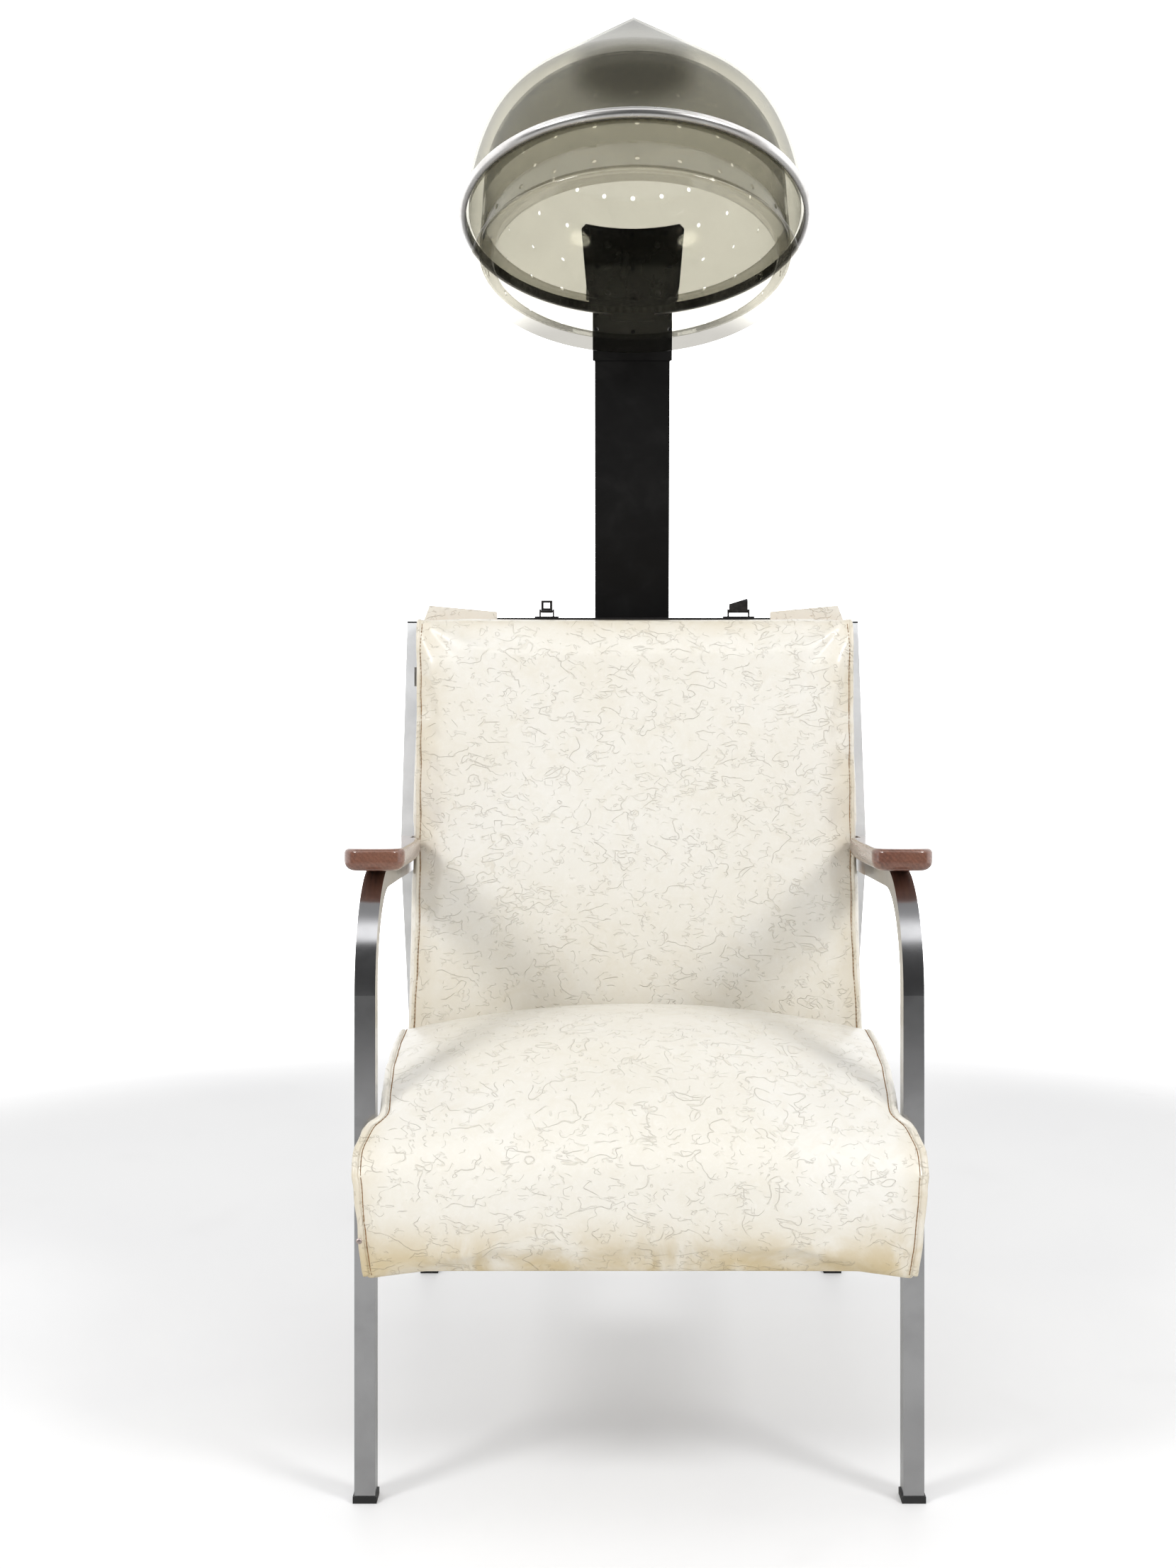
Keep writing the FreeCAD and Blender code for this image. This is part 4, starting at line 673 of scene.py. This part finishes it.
def add_lights():
    add_world()
    area_light("key_left", (-1.9, -1.9, 2.3), (0, 0, 0.7), 0.8, 0.8, KEY_POWER)
    area_light("key_right", (1.9, -1.9, 2.3), (0, 0, 0.7), 0.8, 0.8, KEY_POWER)
    overhead = area_light("overhead", (0, -0.5, 3.2), (0, 0, 0.5), 1.6, 1.0, OVERHEAD_POWER)
    overhead.visible_glossy = False


def add_view_settings():
    scene = bpy.context.scene
    scene.view_settings.view_transform = "Standard"
    scene.cycles.max_bounces = 20
    scene.cycles.transparent_max_bounces = 40
    scene.cycles.transmission_bounces = 16


# ------------------------------------------------------------------ seat cushion
SEAT_PROFILE = [  # y from the front plane, z; from the rear edge over the top and down the apron
    (0.250, 0.472), (0.240, 0.481), (0.150, 0.4805), (0.080, 0.471), (0.030, 0.453), (-0.012, 0.428),
    (-0.042, 0.395), (-0.060, 0.354), (-0.0655, 0.310), (-0.0645, 0.253)]


def extruded(profile, half_at, columns):
    """Vertices and faces of a closed body: the outline profile (y, z) spread between -half and half.
    half_at(y, z) gives each outline point's half-width; the crown lowers the top towards the sides."""
    across = np.linspace(-1.0, 1.0, columns)
    vertices, faces = [], []
    for x_share in across:
        for y, z in profile:
            crown = SEAT_CROWN * x_share * x_share * float(np.clip((z - 0.33) / 0.11, 0.0, 1.0))
            vertices.append((x_share * half_at(y, z), FRONT_PLANE + y, z - crown))
    n = len(profile)
    for i in range(columns - 1):
        for j in range(n):
            a, b = i * n + j, i * n + (j + 1) % n
            faces.append((a, b, b + n, a + n))
    faces.append(tuple(range(n - 1, -1, -1)))
    faces.append(tuple(range((columns - 1) * n, columns * n)))
    return vertices, faces


SHOULDER_Z = [0.250, 0.330, 0.385, 0.410, 0.430, 0.445, 0.460]
SHOULDER_HALF = [0.284, 0.2915, 0.2975, 0.2965, 0.290, 0.280, 0.266]


def seat_cushion(material):
    rear = [(y, z) for y, z in SEAT_PROFILE if y > -0.02]
    rear_outline = rear + [(-0.015, 0.296), (0.250, 0.296)]
    top = spline_points([(0.0, y, z) for y, z in SEAT_PROFILE[4:]], 26)[:, 1:]
    front_outline = [(y, z) for y, z in top if y < 0.0]
    front_outline += [(-0.030, 0.260), (-0.006, 0.264), (-0.006, 0.425)]

    def front_half(_, z):
        """Widest where the roll bends down, narrower at the apron's foot and at the top."""
        return float(np.interp(z, SHOULDER_Z, SHOULDER_HALF))

    va, fa = extruded(rear_outline, lambda y, z: SEAT_REAR_HALF, COLUMNS)
    vb, fb = extruded(front_outline, front_half, COLUMNS)
    faces = fa + [tuple(i + len(va) for i in face) for face in fb]
    piece = new_object("seat_upholstery", va + vb, faces, material)
    bpy.context.view_layer.update()
    remeshed(piece, VOXEL)

    def stays(co, normals):
        under = (normals[:, 2] < -0.4) & (co[:, 1] > FRONT_PLANE - 0.002)
        rear_face = co[:, 1] > SEAT_REAR - 0.012
        past_front = co[:, 1] - FRONT_PLANE
        by_leg = (np.abs(co[:, 0]) > 0.266) & (past_front > -0.009) & (past_front < 0.03)
        return under | rear_face | by_leg

    inflated(piece, stays, SWELL)
    co = points_of(piece)
    by_leg = (np.abs(co[:, 0]) > SEAT_SIDE) & (co[:, 1] > FRONT_PLANE - 0.003)
    co[by_leg & (co[:, 1] < FRONT_PLANE + 0.012), 1] = FRONT_PLANE - 0.003
    side = (np.abs(co[:, 0]) > SEAT_SIDE) & (co[:, 1] >= FRONT_PLANE + 0.012)
    co[side, 0] = np.sign(co[side, 0]) * SEAT_SIDE
    co[:, 1] = np.clip(co[:, 1], CAD_BOX[0].y, SEAT_REAR)
    co[:, 2] = np.maximum(co[:, 2], SEAT_LOW)
    set_points(piece, co)
    subdivided(piece)
    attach(piece, "chair")
    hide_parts("seat_cushion")
    return piece


SEAT_WELT = [  # x, y from the front plane, z; from the rear corner forwards and down the apron
    (0.2765, 0.240, 0.448), (0.2765, 0.150, 0.450), (0.2765, 0.070, 0.441), (0.2750, 0.020, 0.429),
    (0.2740, -0.003, 0.423), (0.2795, -0.014, 0.426), (0.2890, -0.028, 0.426), (0.2960, -0.042, 0.408),
    (0.2985, -0.054, 0.385), (0.2955, -0.065, 0.345), (0.2900, -0.067, 0.305), (0.2820, -0.0655, 0.258)]


def trim(name, cushion, knots, vinyl_material, thread, lift, radius, inset, rise, seam):
    """Piping of the given radius along both side seams, with stitches and a groove set in from it."""
    tree = surface_of(cushion)
    right = spline_points(knots, 150)
    for side, path in (("right", right), ("left", mirrored_points(right))):
        line, _ = on_surface(tree, path, lift)
        welt = tube(name + "_welt_" + side, line, radius, vinyl_material)
        inward = line.copy()
        inward[:, 0] -= np.sign(path[0][0]) * inset
        inward[:, 2] += rise
        inner, inner_normals = on_surface(tree, inward, 0.0002)
        rows = stitches(name + "_stitches_" + side, inner, inner_normals, thread)
        sunk, _ = on_surface(tree, inward, -0.0004)
        groove = tube(name + "_seam_" + side, sunk, seam, thread, sides=6)
        for piece in (welt, rows, groove):
            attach(piece, "chair")


def seat_trim(cushion, vinyl_material, thread):
    """Piping from the seat's rear corners forwards and down the apron."""
    knots = [(x, FRONT_PLANE + y, z) for x, y, z in SEAT_WELT]
    trim("seat", cushion, knots, vinyl_material, thread,
         lift=0.0006, radius=0.0037, inset=0.0060, rise=0.001, seam=0.0008)


def seat_tack(material):
    """Round tack head at the apron's left edge, low on the welt."""
    centre = np.array((-0.2850, FRONT_PLANE - 0.0725, 0.298))
    rings = [(0.0031, 0.0), (0.0029, 0.0007), (0.0021, 0.0013), (0.0010, 0.0016)]
    sides = 20
    vertices = []
    for radius, height in rings:
        for j in range(sides):
            turn = 2 * math.pi * j / sides
            vertices.append(centre + (radius * math.cos(turn), -height, radius * math.sin(turn)))
    tack = new_object("seat_tack", vertices, ring_faces(len(rings), sides), material)
    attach(tack, "chair")


# ------------------------------------------------------------------ back cushion
def leaned(points):
    """Upright back coordinates (x, depth, height) to the row frame."""
    p = np.array(points, float).reshape(-1, 3)
    c, s = math.cos(BACK_LEAN), math.sin(BACK_LEAN)
    return np.stack([p[:, 0], BACK_FOOT_Y + p[:, 1] * c + p[:, 2] * s,
                     BACK_FOOT_Z - p[:, 1] * s + p[:, 2] * c], axis=1)


def unleaned(points):
    p = np.array(points, float).reshape(-1, 3)
    c, s = math.cos(BACK_LEAN), math.sin(BACK_LEAN)
    y, z = p[:, 1] - BACK_FOOT_Y, p[:, 2] - BACK_FOOT_Z
    return np.stack([p[:, 0], y * c - z * s, y * s + z * c], axis=1)


def back_cushion(material):
    """Flat-backed pad whose front face is crowned and whose top front edge rolls over."""
    columns, rows = 40, 40
    vertices, faces = [], []
    for j in range(rows + 1):
        h = j / rows
        for i in range(columns + 1):
            x = -1 + 2 * i / columns
            pillow = (1 - abs(x) ** 3.2) * (1 - abs(2 * h - 1) ** 4)
            top_roll = 0.012 * max(0.0, (h - 0.90) / 0.10) ** 2
            depth = 0.0075 - 0.0055 * pillow + top_roll
            vertices.append((x * (BACK_EDGE - 0.0005), depth, h * (BACK_HEIGHT - 0.002)))
    front = len(vertices)
    for j in range(rows + 1):
        for i in range(columns + 1):
            x = -1 + 2 * i / columns
            vertices.append((x * (BACK_HALF - 0.0035), BACK_THICK, j / rows * (BACK_HEIGHT - 0.004)))

    def at(i, j, layer):
        return layer * front + j * (columns + 1) + i

    for j in range(rows):
        for i in range(columns):
            faces.append((at(i, j, 0), at(i + 1, j, 0), at(i + 1, j + 1, 0), at(i, j + 1, 0)))
            faces.append((at(i, j, 1), at(i, j + 1, 1), at(i + 1, j + 1, 1), at(i + 1, j, 1)))
    for j in range(rows):
        faces.append((at(0, j, 0), at(0, j + 1, 0), at(0, j + 1, 1), at(0, j, 1)))
        faces.append((at(columns, j, 0), at(columns, j, 1), at(columns, j + 1, 1), at(columns, j + 1, 0)))
    for i in range(columns):
        faces.append((at(i, 0, 0), at(i, 0, 1), at(i + 1, 0, 1), at(i + 1, 0, 0)))
        faces.append((at(i, rows, 0), at(i + 1, rows, 0), at(i + 1, rows, 1), at(i, rows, 1)))
    piece = new_object("back_upholstery", leaned(vertices), faces, material)
    bpy.context.view_layer.update()
    remeshed(piece, VOXEL)

    def stays(co, normals):
        local = unleaned(co)
        return (local[:, 1] > BACK_THICK - 0.006) | (local[:, 2] < 0.03)

    inflated(piece, stays, SWELL)
    local = unleaned(points_of(piece))
    notch = (local[:, 2] > ARM_NOTCH[0] - BACK_FOOT_Z) & (local[:, 2] < ARM_NOTCH[1] - BACK_FOOT_Z)
    reach = np.where(notch, BACK_HALF, BACK_EDGE + 0.0015)
    local[:, 0] = np.clip(local[:, 0], -reach, reach)
    local[:, 1] = np.clip(local[:, 1], 0.0, BACK_THICK)
    local[:, 2] = np.clip(local[:, 2], 0.0, BACK_HEIGHT)
    set_points(piece, leaned(local))
    subdivided(piece)
    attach(piece, "chair")
    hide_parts("back_cushion")
    return piece


def back_trim(cushion, vinyl_material, thread):
    """Piping down both sides of the back and over its top corners."""
    half = BACK_EDGE - 0.001
    knots = [(half, 0.008, 0.02), (half, 0.006, 0.12), (half, 0.005, 0.28), (half, 0.006, 0.44),
             (half, 0.007, 0.54), (half - 0.001, 0.016, 0.569), (half - 0.003, 0.084, 0.572)]
    trim("back", cushion, leaned(knots), vinyl_material, thread,
         lift=0.0002, radius=0.0026, inset=0.0045, rise=0.0, seam=0.0007)


# ------------------------------------------------------------------ CAD nodes: materials
def dress(material, *names):
    for name in names:
        node = NODES[name]
        node.data.materials.clear()
        node.data.materials.append(material)
        node.data.polygons.foreach_set("use_smooth", [True] * len(node.data.polygons))
        node.data.update()


def softened(names, width=0.0006):
    """Small rounded edges on boxy nodes."""
    for name in names:
        node = NODES[name]
        weld = node.modifiers.new("weld", "WELD")
        weld.merge_threshold = 1e-6
        bevel = node.modifiers.new("edge", "BEVEL")
        bevel.width = width
        bevel.segments = 2
        bevel.limit_method = "ANGLE"
        bevel.angle_limit = math.radians(35)
        bevel.use_clamp_overlap = True
        bevel.harden_normals = True


def dress_cad():
    chrome = satin_chrome("satin_chrome")
    dress(chrome, "side_frame_right", "side_frame_left", "front_rail", "seat_side_rails", "seat_cross_rail",
          "rear_rail")
    # Painted light: a whiter, less metallic copy of the chrome makes the back posts look brightly lit.
    painted_light_chrome = satin_chrome("painted_light_chrome", (0.90, 0.91, 0.92), 0.45, 0.1, 0.3)
    dress(painted_light_chrome, "back_post_right", "back_post_left")
    dress(walnut("walnut"), "armrest_right", "armrest_left")
    dress(wood("pine", (0.60, 0.43, 0.24), (0.42, 0.27, 0.13)), "seat_frame", "back_frame")
    dress(cloth("dust_cloth", (0.02, 0.02, 0.021)), "seat_dust_cover")
    dress(vinyl("vinyl_board", board_stain), "back_panel")
    zinc = brushed("zinc", (0.60, 0.60, 0.59), 0.34, (160, 160, 60))
    dress(zinc, "frame_screws", "seat_springs", "back_straps", "housing_mounts", "tilt_pin", "heater_box",
          "motor_cradle", "thermostat", "motor_shaft")
    dress(brushed("blackened_steel", (0.10, 0.10, 0.105), 0.34, (200, 200, 200)), "hood_screws", "hasp",
          "latch_lever", "latch_bases")
    dress(moulded("glide_rubber", (0.016, 0.016, 0.016), 0.62), "leg_glides")
    black = moulded("black_plastic", (0.012, 0.012, 0.012), 0.40)
    dress(black, "post_caps", "timer_knob", "switch_bezel", "cord_gland", "clamp_knob", "timer_body",
          "terminal_block", "column_guide", "ring_joiner")
    dress(moulded("rocker_plastic", (0.20, 0.012, 0.010), 0.28), "switch_rocker")
    dress(moulded("deflector_plastic", (0.004, 0.0045, 0.0045), 0.20, 700.0, 0.00003), "air_deflector")
    enamel = black_enamel("black_enamel")
    dress(enamel, "column", "column_head", "blower_housing", "housing_lid", "hood_neck", "intake_grille")
    dress(brushed("galvanised", (0.55, 0.56, 0.57), 0.42, (40, 40, 40)), "column_well")
    dress(brushed("control_plate", (0.66, 0.66, 0.64), 0.30), "control_plate")
    dress(cloth("filter_foam", (0.045, 0.045, 0.048), 700.0), "intake_filter")
    grey = moulded("grey_plastic", (0.16, 0.16, 0.16), 0.5)
    dress(grey, "friction_washers", "blower_wheel", "blower_scroll")
    dress(moulded("motor_iron", (0.05, 0.05, 0.055), 0.55, 220.0, 0.0005), "blower_motor")
    dress(brushed("heater_wire", (0.45, 0.33, 0.26), 0.4, (300, 40, 300)), "heating_elements")
    # Painted shade on the outer shell's point.
    dress(smoke_plastic("smoke_outer", (0.710, 0.702, 0.665), tip_shade=0.45), "hood_outer_shell")
    dress(smoke_plastic("smoke_inner", (0.695, 0.688, 0.652)), "hood_inner_shell", "plenum_ring")
    # Painted shade on the rim's rear.
    dress(smoke_plastic("smoke_rim", (0.84, 0.83, 0.80), rear_shade=0.42), "hood_rim")
    dress(ring_metal("ring_metal"), "trim_ring")
    softened(["housing_lid", "control_plate", "switch_bezel", "terminal_block", "column_guide"], 0.0005)


add_camera()
add_floor()
add_lights()
add_view_settings()
dress_cad()
thread = moulded("brown_thread", (0.23, 0.13, 0.055), 0.7, 900.0)
seat_vinyl = vinyl("vinyl_seat", seat_stain)
back_vinyl = vinyl("vinyl_back", back_stain)
seat = seat_cushion(seat_vinyl)
seat_trim(seat, seat_vinyl, thread)
seat_tack(satin_chrome("worn_copper", (0.72, 0.60, 0.56), 0.40, 0.4))
back = back_cushion(back_vinyl)
back_trim(back, back_vinyl, thread)
